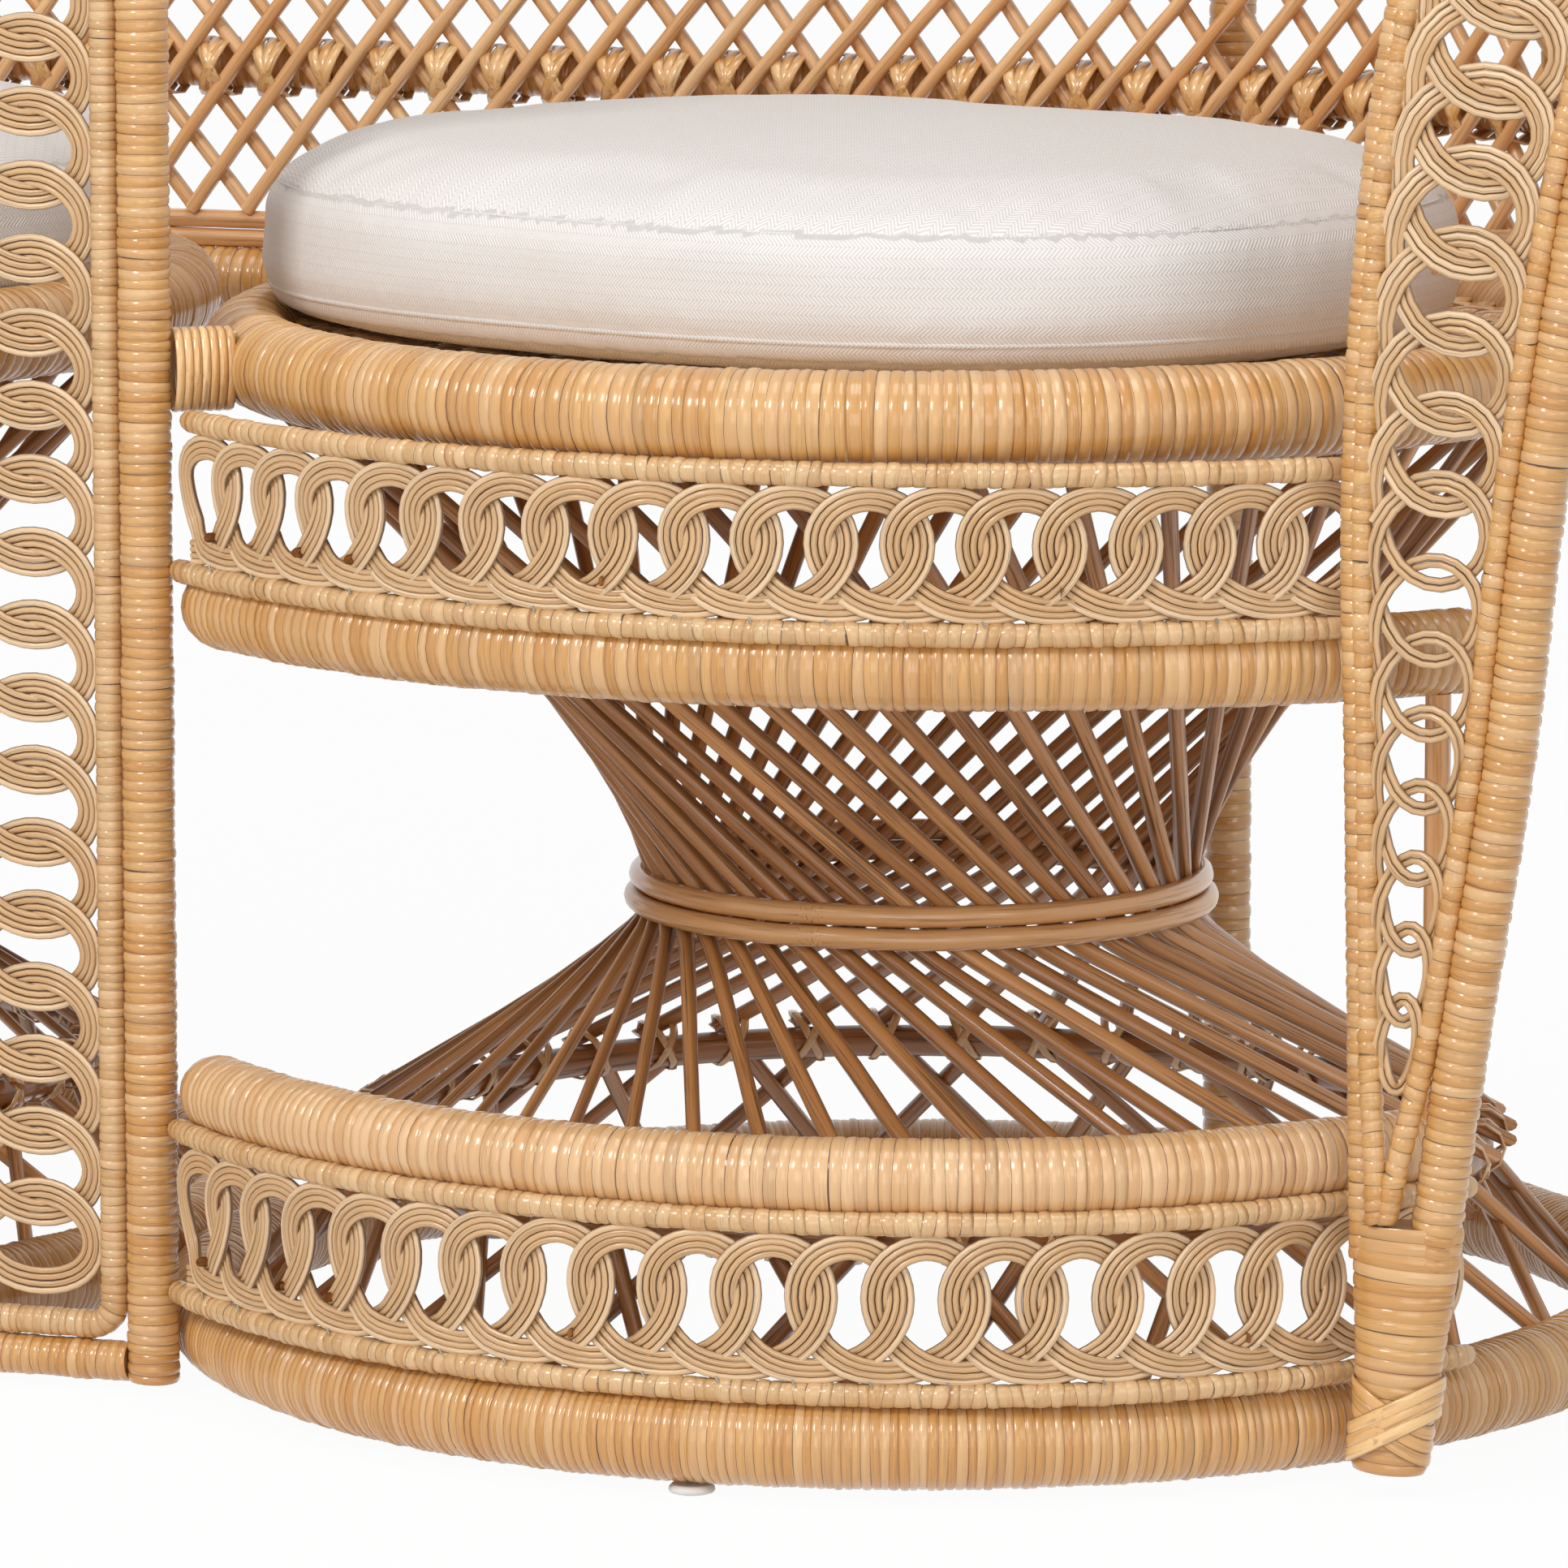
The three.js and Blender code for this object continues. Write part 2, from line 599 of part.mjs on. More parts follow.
function shellBar(lift, tube, { out = 0, reach = 1, sides = 4 } = {}) {
  const at = (q) => shellPoint(mix(-reach, reach, q), lift, out);
  return sweep(samples(SHELL_STEPS, at), roundSection(tube, sides));
}

/** Lattice of crossing rods as one pierced sheet that follows the fan's surface. */
function net() {
  const cols = NET_COLUMNS * 2;
  const at = (i, j) => {
    const q = mix(-NET_END_SHARE, NET_END_SHARE, i / cols);
    const low = fanPoint(q, 0).z + NET_MARGIN;
    return [q, shareAtHeight(q, mix(low, FAN_RAIL_Z - flat(FAN_RAIL_R, 4) - NET_MARGIN, j / NET_ROWS))];
  };
  const spots = [];
  const polygons = [];
  const corner = new Map();
  const lateral = (0.42 * NET_STRUT_W) / (2 * SHELL_R);
  const spotOf = (i, j, side) => {
    const key = [i, j, side].join();
    if (!corner.has(key)) {
      const [q, share] = at(i, j);
      const dq = { left: -lateral, right: lateral }[side] ?? 0;
      const rise = { down: -NET_STRUT_W * 0.8, up: NET_STRUT_W * 0.8 }[side] ?? 0;
      const dv = rise / (fanPoint(q, 1).z - fanPoint(q, 0).z);
      corner.set(key, spots.length);
      spots.push([q + dq, share + dv]);
    }
    return corner.get(key);
  };
  for (let j = 0; j <= NET_ROWS; j++)
    for (let i = j % 2; i <= cols; i += 2) {
      polygons.push(["left", "down", "right", "up"].map((side) => spotOf(i, j, side)));
      if (j === NET_ROWS) continue;
      if (i < cols)
        polygons.push([spotOf(i, j, "up"), spotOf(i, j, "right"), spotOf(i + 1, j + 1, "down"), spotOf(i + 1, j + 1, "left")]);
      if (i > 0)
        polygons.push([spotOf(i, j, "left"), spotOf(i, j, "up"), spotOf(i - 1, j + 1, "right"), spotOf(i - 1, j + 1, "down")]);
    }
  return slab(spots, polygons);
}

/** A sheet of the fan's surface made of four-cornered cells, with walls wherever a cell has no neighbour. */
function slab(spots, polygons) {
  const face = (side) => spots.map(([q, share]) => fanPoint(q, share).addScaledVector(fanNormal(q, share), side));
  const corners = [...face(NET_T / 2), ...face(-NET_T / 2)];
  const triangles = [];
  const edges = new Map();
  const n = spots.length;
  for (const [a, b, c, d] of polygons) {
    triangles.push([a, b, c], [a, c, d], [n + a, n + c, n + b], [n + a, n + d, n + c]);
    for (const [u, v] of [[a, b], [b, c], [c, d], [d, a]]) edges.set(u + "," + v, [u, v]);
  }
  for (const [u, v] of edges.values())
    if (!edges.has(v + "," + u)) triangles.push([v, u, n + u], [v, n + u, n + v]);
  return solidFrom(corners, triangles);
}

/** Ribs of the fan with the two arched rails that they cross. */
function fan() {
  const above = (q, share) => fanPoint(q, mix(shareAtHeight(q, FAN_RAIL_Z), 1, share));
  const rail = (share, tube, reach) =>
    sweep(samples(SHELL_STEPS, (q) => above(mix(-reach, reach, q), share)), roundSection(tube, 4), { start: FORWARD });
  const solids = [rail(0, FAN_RAIL_R, NET_END_SHARE), rail(FAN_ARCH_SHARE, FAN_RIB_R + 1, FAN_REACH)];
  for (let i = 0; i < FAN_RIBS; i++) {
    const q = FAN_REACH * ((i / (FAN_RIBS - 1)) * 2 - 1);
    const rib = above(q, 1).sub(above(q, 0));
    const pole = fanPoint(q + 0.01, 1).sub(fanPoint(q - 0.01, 1));
    const stop = 1 - (INNER_POLE_R + FAN_RIB_R - GAP) / (rib.length() * Math.sin(rib.angleTo(pole)));
    solids.push(sweep([above(q, 0), above(q, stop)], roundSection(FAN_RIB_R, 3), { start: FORWARD }));
  }
  return Manifold.union(solids);
}

/** Wrapped rail that runs round behind the lattice. */
function midRail() {
  const at = (q) => {
    const share = shareAtHeight(q, fanPoint(q, 0).z + MID_RAIL_LIFT);
    return fanPoint(q, share).addScaledVector(fanNormal(q, share), -(MID_RAIL_R + NET_T / 2 + 4 * GAP));
  };
  return sweep(samples(SHELL_STEPS, (q) => at(mix(-NET_END_SHARE, NET_END_SHARE, q))), roundSection(MID_RAIL_R, 5));
}

function shellPieces() {
  const upper = SILL_ROD_STEP;
  return {
    sill_rod_lower: shellBar(0, SILL_ROD_R, { sides: 3 }),
    sill_rod_upper: shellBar(upper, SILL_ROD_R, { sides: 3 }),
    back_rail: shellBar(-riseOf(SILL_ROD_R) - flat(BACK_RAIL_R, 5) - 4 * GAP, BACK_RAIL_R, {
      reach: BACK_RAIL_REACH,
      sides: 5,
    }),
    mid_rail: midRail(),
    lattice: net(),
    fan: fan(),
  };
}

/** Middle panel between the seats: a hoop, the rim inside it, its foot rail and its chain of loops. */
function panelPieces() {
  const spring = PANEL_TOP_Z - POST_X;
  const arch = (radius, q) => point(radius * Math.cos(Math.PI * q), POST_Y, spring + radius * Math.sin(Math.PI * q));
  const hoop = [point(POST_X, POST_Y, POST_FOOT_Z), ...samples(10, (q) => arch(POST_X, q)), point(-POST_X, POST_Y, POST_FOOT_Z)];
  const rimX = POST_X - flat(POST_R) - GAP - flat(PANEL_RIM_R);
  const low = PANEL_FOOT_RAIL_Z + PANEL_FOOT_RAIL_R + GAP + flat(PANEL_RIM_R);
  const rim = [point(rimX, POST_Y, low), ...samples(10, (q) => arch(rimX, q)), point(-rimX, POST_Y, low)];
  const half = rimX - flat(PANEL_RIM_R) - GAP - BUNDLE_W / 2;
  const bottom = low + PANEL_RIM_R + GAP;
  const length = spring + half - bottom;
  const footHalf = POST_X - flat(POST_R) - GAP;
  return {
    middle_hoop: sweep(hoop, roundSection(POST_R), { start: FORWARD }),
    middle_rim: sweep(rim, roundSection(PANEL_RIM_R), { start: FORWARD, closed: true }),
    middle_foot_rail: sweep(
      [point(-footHalf, POST_Y, PANEL_FOOT_RAIL_Z), point(footHalf, POST_Y, PANEL_FOOT_RAIL_Z)],
      roundSection(PANEL_FOOT_RAIL_R),
    ),
    middle_loops: runningLoops({
      length,
      loops: Math.round(length / LOOP_PITCH),
      half: (s) => half * Math.min(1, 0.35 + Math.min(s, length - s) / 40),
      at: (s, across, out) => point(across, POST_Y - out, bottom + s),
      facing: () => FORWARD,
    }),
    armrest: armrest(),
  };
}

/** Wrapped armrest between the seats, from the middle hoop back to the shell. */
function armrest() {
  const z = PANEL_TOP_Z + flat(POST_R) + GAP + ARMREST_R;
  const back = fanPoint(0, shareAtHeight(0, z - ARMREST_R));
  const path = [
    point(0, POST_Y - 14, z),
    point(0, POST_Y + 40, z),
    point(0, 40, z),
    point(0, back.y - FAN_RIB_R, z),
  ];
  return sweep(path, roundSection(ARMREST_R));
}

function legAt(side) {
  const leg = Manifold.cylinder(LEG_TOP_Z - LEG_FOOT_Z, LEG_FOOT_R, LEG_TOP_R, 10);
  return leg.translate([side * WING_X, WING_Y, LEG_FOOT_Z]);
}

function stayAt(side) {
  const path = [point(side * STAY_X, STAY_Y, 0), point(side * STAY_X, STAY_Y, STAY_TOP_Z)];
  return sweep(path, roundSection(STAY_R), { start: FORWARD });
}

// Finishes: colour, roughness
const FINISHES = {
  wrap: [0xd9b27c, 0.42],
  core: [0xcfab7d, 0.62],
  rod: [0xa9825a, 0.6],
  cotton: [0xe9e4da, 0.95],
  plastic: [0xe8e8e6, 0.5],
};

function finishOf(name) {
  if (/cushion/.test(name)) return "cotton";
  if (/glide/.test(name)) return "plastic";
  if (/loops|deck/.test(name)) return "core";
  if (/hourglass|side_rod|sill|lattice|fan/.test(name)) return "rod";
  return "wrap";
}

function meshOf(name, solid) {
  const made = solid.getMesh();
  const geometry = new THREE.BufferGeometry();
  const flat = new Float32Array(made.numVert * 3);
  for (let i = 0; i < made.numVert; i++)
    flat.set(made.vertProperties.subarray(i * made.numProp, i * made.numProp + 3), i * 3);
  geometry.setAttribute("position", new THREE.BufferAttribute(flat, 3));
  geometry.setIndex(new THREE.BufferAttribute(made.triVerts, 1));
  const [color, roughness] = FINISHES[finishOf(name)];
  const mesh = new THREE.Mesh(geometry, new THREE.MeshStandardMaterial({ color, roughness, metalness: 0 }));
  mesh.name = name;
  return mesh;
}

function build() {
  const group = new THREE.Group();
  const add = (name, solid) => group.add(meshOf(name, solid));
  for (const [name, solid] of Object.entries(seatPieces())) {
    add(name + "_right", solid.translate([SEAT_X, 0, 0]));
    add(name + "_left", solid.translate([SEAT_X, 0, 0]).mirror([1, 0, 0]));
  }
  for (const [name, solid] of Object.entries({ ...borderPieces(), ...shellPieces(), ...panelPieces() })) add(name, solid);
  for (const [label, side] of [["left", -1], ["right", 1]]) {
    add("wing_leg_" + label, legAt(side));
    add("rear_stay_" + label, stayAt(side));
  }
  const middle = new THREE.Box3().setFromObject(group).getCenter(new THREE.Vector3());
  for (const mesh of group.children) mesh.geometry.translate(0, -middle.y, 0);
  return group;
}

export default build();
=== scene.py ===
"""Looks of a two-seat peacock chair in wrapped rattan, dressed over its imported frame.

Every piece is made in the frame's own place, in metres: X to the right, Y to the back, Z up.
"""

import logging
import math
from dataclasses import dataclass, field
from enum import Enum
from functools import cache
from typing import Any, Callable, Sequence

import bmesh
import bpy
import numpy as np
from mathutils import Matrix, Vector


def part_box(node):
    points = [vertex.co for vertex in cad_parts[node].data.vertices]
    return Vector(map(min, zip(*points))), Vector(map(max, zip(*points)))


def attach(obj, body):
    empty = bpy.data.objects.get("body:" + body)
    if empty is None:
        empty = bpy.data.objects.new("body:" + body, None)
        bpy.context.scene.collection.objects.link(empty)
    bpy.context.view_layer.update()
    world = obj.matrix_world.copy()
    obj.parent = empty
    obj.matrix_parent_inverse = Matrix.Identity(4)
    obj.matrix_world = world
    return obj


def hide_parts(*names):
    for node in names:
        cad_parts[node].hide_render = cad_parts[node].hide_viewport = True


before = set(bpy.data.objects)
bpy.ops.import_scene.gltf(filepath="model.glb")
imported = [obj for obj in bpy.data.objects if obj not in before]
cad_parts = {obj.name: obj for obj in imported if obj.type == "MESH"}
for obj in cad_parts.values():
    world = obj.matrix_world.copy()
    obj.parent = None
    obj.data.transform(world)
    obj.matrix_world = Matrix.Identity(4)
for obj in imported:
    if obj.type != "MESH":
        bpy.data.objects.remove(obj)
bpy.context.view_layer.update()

LOG = logging.getLogger("peacock_chair")
MM = 0.001
BODY = "frame"
UP = np.array([0.0, 0.0, 1.0])
FRONT = np.array([0.0, -1.0, 0.0])
NUMBER = "NodeSocketFloat"
WHOLE = "NodeSocketInt"


class Side(Enum):
    """The two halves of the chair, as seen from the front."""

    RIGHT = 1
    LEFT = -1

    @property
    def tail(self) -> str:
        """What ends the names of this half's pieces and nodes."""
        return "_" + self.name.lower()


class Slot(Enum):
    """Material slots."""

    WRAP = "wrapped_rattan"
    CORE = "cane_core"
    ROD = "bare_rod"
    COTTON = "cotton"
    PLASTIC = "white_plastic"


@dataclass
class Line:
    """A path that cane or a wrapped pole follows.

    Args:
        points: Positions along the path, in metres.
        facing: The outward direction at each of them.
        closed: True where the last point joins the first.
        girth: Thickness at each point, as a share of the piece's own.
        spread: Distance between a bundle's strands at each point, as a share of its own.
    """

    points: np.ndarray
    facing: np.ndarray
    closed: bool = False
    girth: np.ndarray | None = None
    spread: np.ndarray | None = None

    def mirrored(self) -> "Line":
        """The same path on the other half of the chair."""
        flip = np.array([-1.0, 1.0, 1.0])
        return Line(self.points * flip, self.facing * flip, self.closed, self.girth, self.spread)


def unit(v: np.ndarray) -> np.ndarray:
    """Vectors at length one, along the last axis."""
    return v / np.maximum(np.linalg.norm(v, axis=-1, keepdims=True), 1e-12)


def aimed(points: np.ndarray, direction: np.ndarray, closed: bool = False) -> Line:
    """A path that faces one way all along."""
    return Line(points, np.tile(direction, (len(points), 1)), closed)


def smoothstep(x: np.ndarray, low: float, high: float) -> np.ndarray:
    """Smooth rise from 0 at low to 1 at high."""
    t = np.clip((x - low) / (high - low), 0.0, 1.0)
    return t * t * (3 - 2 * t)


def smooth_floor(x: np.ndarray, soft: float) -> np.ndarray:
    """Keeps values above zero, with a rounded turn instead of a corner."""
    return (x + np.sqrt(x * x + soft * soft)) / 2


def sunk(line: Line, depth: float) -> Line:
    """The same bar, run on straight at both ends, into the wraps that cover it there."""
    first, last = line.points[0], line.points[-1]
    before = first + unit(first - line.points[1]) * depth
    after = last + unit(last - line.points[-2]) * depth
    return Line(np.vstack([before, line.points, after]), np.vstack([line.facing[:1], line.facing, line.facing[-1:]]))


def straight(a: Sequence[float], b: Sequence[float], steps: int = 8) -> np.ndarray:
    """Points on a straight line from a to b."""
    return np.linspace(a, b, steps + 1)


def xyz(x: Any, y: Any, z: Any) -> np.ndarray:
    """Points from their three coordinates, each a number or a row of them."""
    return np.stack(np.broadcast_arrays(x, y, z), axis=-1)


def turns(count: int) -> np.ndarray:
    """Angles of a closed ring's points."""
    return np.arange(count) / count * 2 * math.pi


def strip_turn(centre: np.ndarray, first: np.ndarray, second: np.ndarray, lean: Any, count: int,
               delay: float = 0.0) -> Line:
    """One closed turn of strip round a bar.

    Args:
        centre: Middle of the turn.
        first: Reach from there to where the turn starts.
        second: Reach a quarter of a turn later.
        lean: How far it shifts along the bar on its way.
        count: Points of the turn.
        delay: Angle by which that shift comes later.

    Returns:
        The path.
    """
    phase = turns(count)
    arm = np.outer(np.cos(phase), first) + np.outer(np.sin(phase), second)
    return Line(centre + arm + np.outer(np.sin(phase + delay), lean), unit(arm), closed=True)


def rounded_ends(line: Line, reach: float, least: float = 0.55) -> Line:
    """Draws in both ends of a wrapped bar, as its last wraps are.

    Args:
        line: The bar's path, which is given a girth.
        reach: How far the rounding runs in from each end, in metres.
        least: Girth at the very end.

    Returns:
        The same line.
    """
    steps = np.linalg.norm(np.diff(line.points, axis=0), axis=1)
    along = np.concatenate([[0.0], np.cumsum(steps)])
    extra = np.array([reach * k for k in (0.12, 0.35, 0.7, 1.0)])
    stops = np.unique(np.concatenate([along, extra, along[-1] - extra]))
    line.points = np.column_stack([np.interp(stops, along, line.points[:, k]) for k in range(3)])
    line.facing = np.column_stack([np.interp(stops, along, line.facing[:, k]) for k in range(3)])
    left = np.minimum(stops, stops[-1] - stops) / reach
    dome = np.sqrt(np.clip(1 - (1 - np.clip(left, 0, 1)) ** 2, 0, 1))
    line.girth = least + (1 - least) * dome
    return line


# Meshes


def linked(name: str, data: Any) -> bpy.types.Object:
    """A new object in the scene, at the origin."""
    made = bpy.data.objects.new(name, data)
    bpy.context.scene.collection.objects.link(made)
    return made


def finished_mesh(source: bpy.types.Object) -> bpy.types.Mesh:
    """The plain mesh that an object's modifiers give."""
    bpy.context.view_layer.update()
    graph = bpy.context.evaluated_depsgraph_get()
    return bpy.data.meshes.new_from_object(source.evaluated_get(graph), depsgraph=graph)


def coordinates(mesh: bpy.types.Mesh) -> np.ndarray:
    """Positions of a mesh's points."""
    flat = np.empty(len(mesh.vertices) * 3, np.float32)
    mesh.vertices.foreach_get("co", flat)
    return flat.reshape(-1, 3).astype(float)


def move_points(mesh: bpy.types.Mesh, points: np.ndarray) -> None:
    """Puts a mesh's points at new positions."""
    mesh.vertices.foreach_set("co", points.astype(np.float32).ravel())
    mesh.update()


def write_row(mesh: bpy.types.Mesh, name: str, values: np.ndarray) -> None:
    """Keeps a number or a vector on each of a mesh's points."""
    vector = values.ndim == 2
    layer = mesh.attributes.new(name, "FLOAT_VECTOR" if vector else "FLOAT", "POINT")
    layer.data.foreach_set("vector" if vector else "value", values.astype(np.float32).ravel())


def stacked_rings(name: str, rings: Sequence[np.ndarray]) -> bpy.types.Mesh:
    """A closed surface through rings of points.

    Args:
        name: Name of the mesh.
        rings: Rings of equally many points, from the lowest to the highest.

    Returns:
        The mesh, with its faces outwards.
    """
    form = bmesh.new()
    loops = [[form.verts.new(p) for p in ring] for ring in rings]
    for lower, upper in zip(loops, loops[1:]):
        for i, corner in enumerate(lower):
            j = (i + 1) % len(lower)
            form.faces.new((corner, lower[j], upper[j], upper[i]))
    form.faces.new(list(reversed(loops[0])))
    form.faces.new(loops[-1])
    bmesh.ops.recalc_face_normals(form, faces=form.faces)
    mesh = bpy.data.meshes.new(name)
    form.to_mesh(mesh)
    form.free()
    return mesh


# Materials


def colour(code: int) -> tuple[float, float, float, float]:
    """A shader colour from a six-digit screen colour."""
    parts = [(code >> shift & 255) / 255 for shift in (16, 8, 0)]
    linear = [c / 12.92 if c <= 0.04045 else ((c + 0.055) / 1.055) ** 2.4 for c in parts]
    return (*linear, 1.0)


class Wiring:
    """Short ways to add and join nodes in one tree."""

    def __init__(self, tree: bpy.types.NodeTree) -> None:
        """Keeps the tree that nodes go into."""
        self.tree = tree

    def add(self, kind: str, **settings: Any) -> bpy.types.Node:
        """Adds a node and sets its properties."""
        node = self.tree.nodes.new(kind)
        for name, value in settings.items():
            setattr(node, name, value)
        return node

    def put(self, socket: bpy.types.NodeSocket, value: Any) -> None:
        """Links a socket to another socket, or sets its value."""
        if isinstance(value, bpy.types.NodeSocket):
            self.tree.links.new(value, socket)
        else:
            socket.default_value = value

    def sums(self, operation: str, a: Any, b: Any = 0.0, c: Any = None) -> bpy.types.NodeSocket:
        """Result of a Math node."""
        node = self.add("ShaderNodeMath", operation=operation)
        for socket, value in zip(node.inputs, (a, b, c)):
            if value is not None:
                self.put(socket, value)
        return node.outputs[0]

    def times(self, a: Any, b: Any) -> bpy.types.NodeSocket:
        """Product of two numbers."""
        return self.sums("MULTIPLY", a, b)

    def plus(self, a: Any, b: Any) -> bpy.types.NodeSocket:
        """Sum of two numbers."""
        return self.sums("ADD", a, b)

    def minus(self, a: Any, b: Any) -> bpy.types.NodeSocket:
        """Difference of two numbers."""
        return self.sums("SUBTRACT", a, b)

    def whole(self, value: Any) -> bpy.types.NodeSocket:
        """A strand's number, as a whole one."""
        return self.sums("FLOOR", self.plus(value, 0.5))

    def vectors(self, operation: str, a: Any, b: Any = None, scale: Any = None) -> bpy.types.NodeSocket:
        """Result of a Vector Math node: a number for a dot product, a vector otherwise."""
        node = self.add("ShaderNodeVectorMath", operation=operation)
        self.put(node.inputs[0], a)
        if b is not None:
            self.put(node.inputs[1], b)
        if scale is not None:
            self.put(node.inputs["Scale"], scale)
        return node.outputs["Value" if operation in ("DOT_PRODUCT", "LENGTH") else "Vector"]

    def ramp(self, value: Any, low: float, high: float, to_low: float = 0.0, to_high: float = 1.0) -> Any:
        """A clamped linear change of range."""
        node = self.add("ShaderNodeMapRange")
        for socket, number in zip(node.inputs, (value, low, high, to_low, to_high)):
            self.put(socket, number)
        return node.outputs[0]

    def blend(self, share: Any, a: Any, b: Any, kind: str = "MIX") -> bpy.types.NodeSocket:
        """Mixes two colours."""
        node = self.add("ShaderNodeMix", data_type="RGBA", blend_type=kind)
        self.put(node.inputs[0], share)
        self.put(node.inputs[6], a)
        self.put(node.inputs[7], b)
        return node.outputs[2]

    def noise(self, vector: Any, scale: float, detail: float = 3.0, rough: float = 0.55) -> Any:
        """Value of a noise texture."""
        node = self.add("ShaderNodeTexNoise")
        self.put(node.inputs["Vector"], vector)
        for name, number in (("Scale", scale), ("Detail", detail), ("Roughness", rough)):
            self.put(node.inputs[name], number)
        return node.outputs["Fac"]

    def chance(self, value: Any, offset: float = 0.0) -> bpy.types.NodeSocket:
        """A random share from 0 to 1 for each whole number."""
        node = self.add("ShaderNodeTexWhiteNoise", noise_dimensions="1D")
        self.put(node.inputs["W"], self.plus(value, offset))
        return node.outputs["Value"]

    def named(self, name: str, output: str = "Fac") -> bpy.types.NodeSocket:
        """An attribute of the piece's mesh, in a material."""
        return self.add("ShaderNodeAttribute", attribute_name=name).outputs[output]

    def join(self, x: Any, y: Any, z: Any = 0.0) -> bpy.types.NodeSocket:
        """A vector from three numbers."""
        node = self.add("ShaderNodeCombineXYZ")
        for socket, value in zip(node.inputs, (x, y, z)):
            self.put(socket, value)
        return node.outputs[0]

    def split(self, vector: Any) -> Any:
        """The three numbers of a vector."""
        node = self.add("ShaderNodeSeparateXYZ")
        self.put(node.inputs[0], vector)
        return node.outputs

    def raise_surface(self, shader: bpy.types.Node, height: Any, strength: float, distance: float) -> None:
        """Adds a bump of a height, at a strength and a distance in metres, to a shader."""
        node = self.add("ShaderNodeBump")
        for name, value in (("Strength", strength), ("Distance", distance), ("Height", height)):
            self.put(node.inputs[name], value)
        self.put(shader.inputs["Normal"], node.outputs[0])


def fresh_material(title: str) -> tuple[bpy.types.Material, Wiring, bpy.types.Node]:
    """A new material, its wiring and its main shader."""
    material = bpy.data.materials.new(title)
    material.use_nodes = True
    return material, Wiring(material.node_tree), material.node_tree.nodes["Principled BSDF"]


@cache
def fibre_effect() -> bpy.types.NodeTree:
    """Group of the fine lines and dark flecks that all cane has, built once.

    Returns:
        A group with inputs Grain, Lines and Flecks and outputs Line, Fleck and Tone.
    """
    tree = bpy.data.node_groups.new("Cane fibres", "ShaderNodeTree")
    for name, kind in (("Grain", "NodeSocketVector"), ("Lines", NUMBER), ("Flecks", NUMBER)):
        tree.interface.new_socket(name, in_out="INPUT", socket_type=kind)
    for name in ("Line", "Fleck", "Tone"):
        tree.interface.new_socket(name, in_out="OUTPUT", socket_type=NUMBER)
    w = Wiring(tree)
    inputs = w.add("NodeGroupInput").outputs
    leave = w.add("NodeGroupOutput").inputs
    thin = w.ramp(w.noise(inputs["Grain"], 1.0, 4.0, 0.62), 0.53, 0.66)
    spots = w.noise(w.vectors("MULTIPLY", inputs["Grain"], (0.42, 0.42, 0.42)), 1.0, 5.0, 0.7)
    cloud = w.noise(w.add("ShaderNodeTexCoord").outputs["Object"], 9.0, 2.0)
    fleck = w.times(w.ramp(spots, 0.63, 0.7), w.ramp(cloud, 0.42, 0.68))
    w.put(leave["Line"], w.times(thin, inputs["Lines"]))
    w.put(leave["Fleck"], w.times(fleck, inputs["Flecks"]))
    w.put(leave["Tone"], cloud)
    return tree


# Colours of single wound strips, and of the flecks on every cane
CREAM = 0xE8C090
STAIN = 0xB5713A
AGED = 0xA87C4E
FLECK = 0x4A2C16


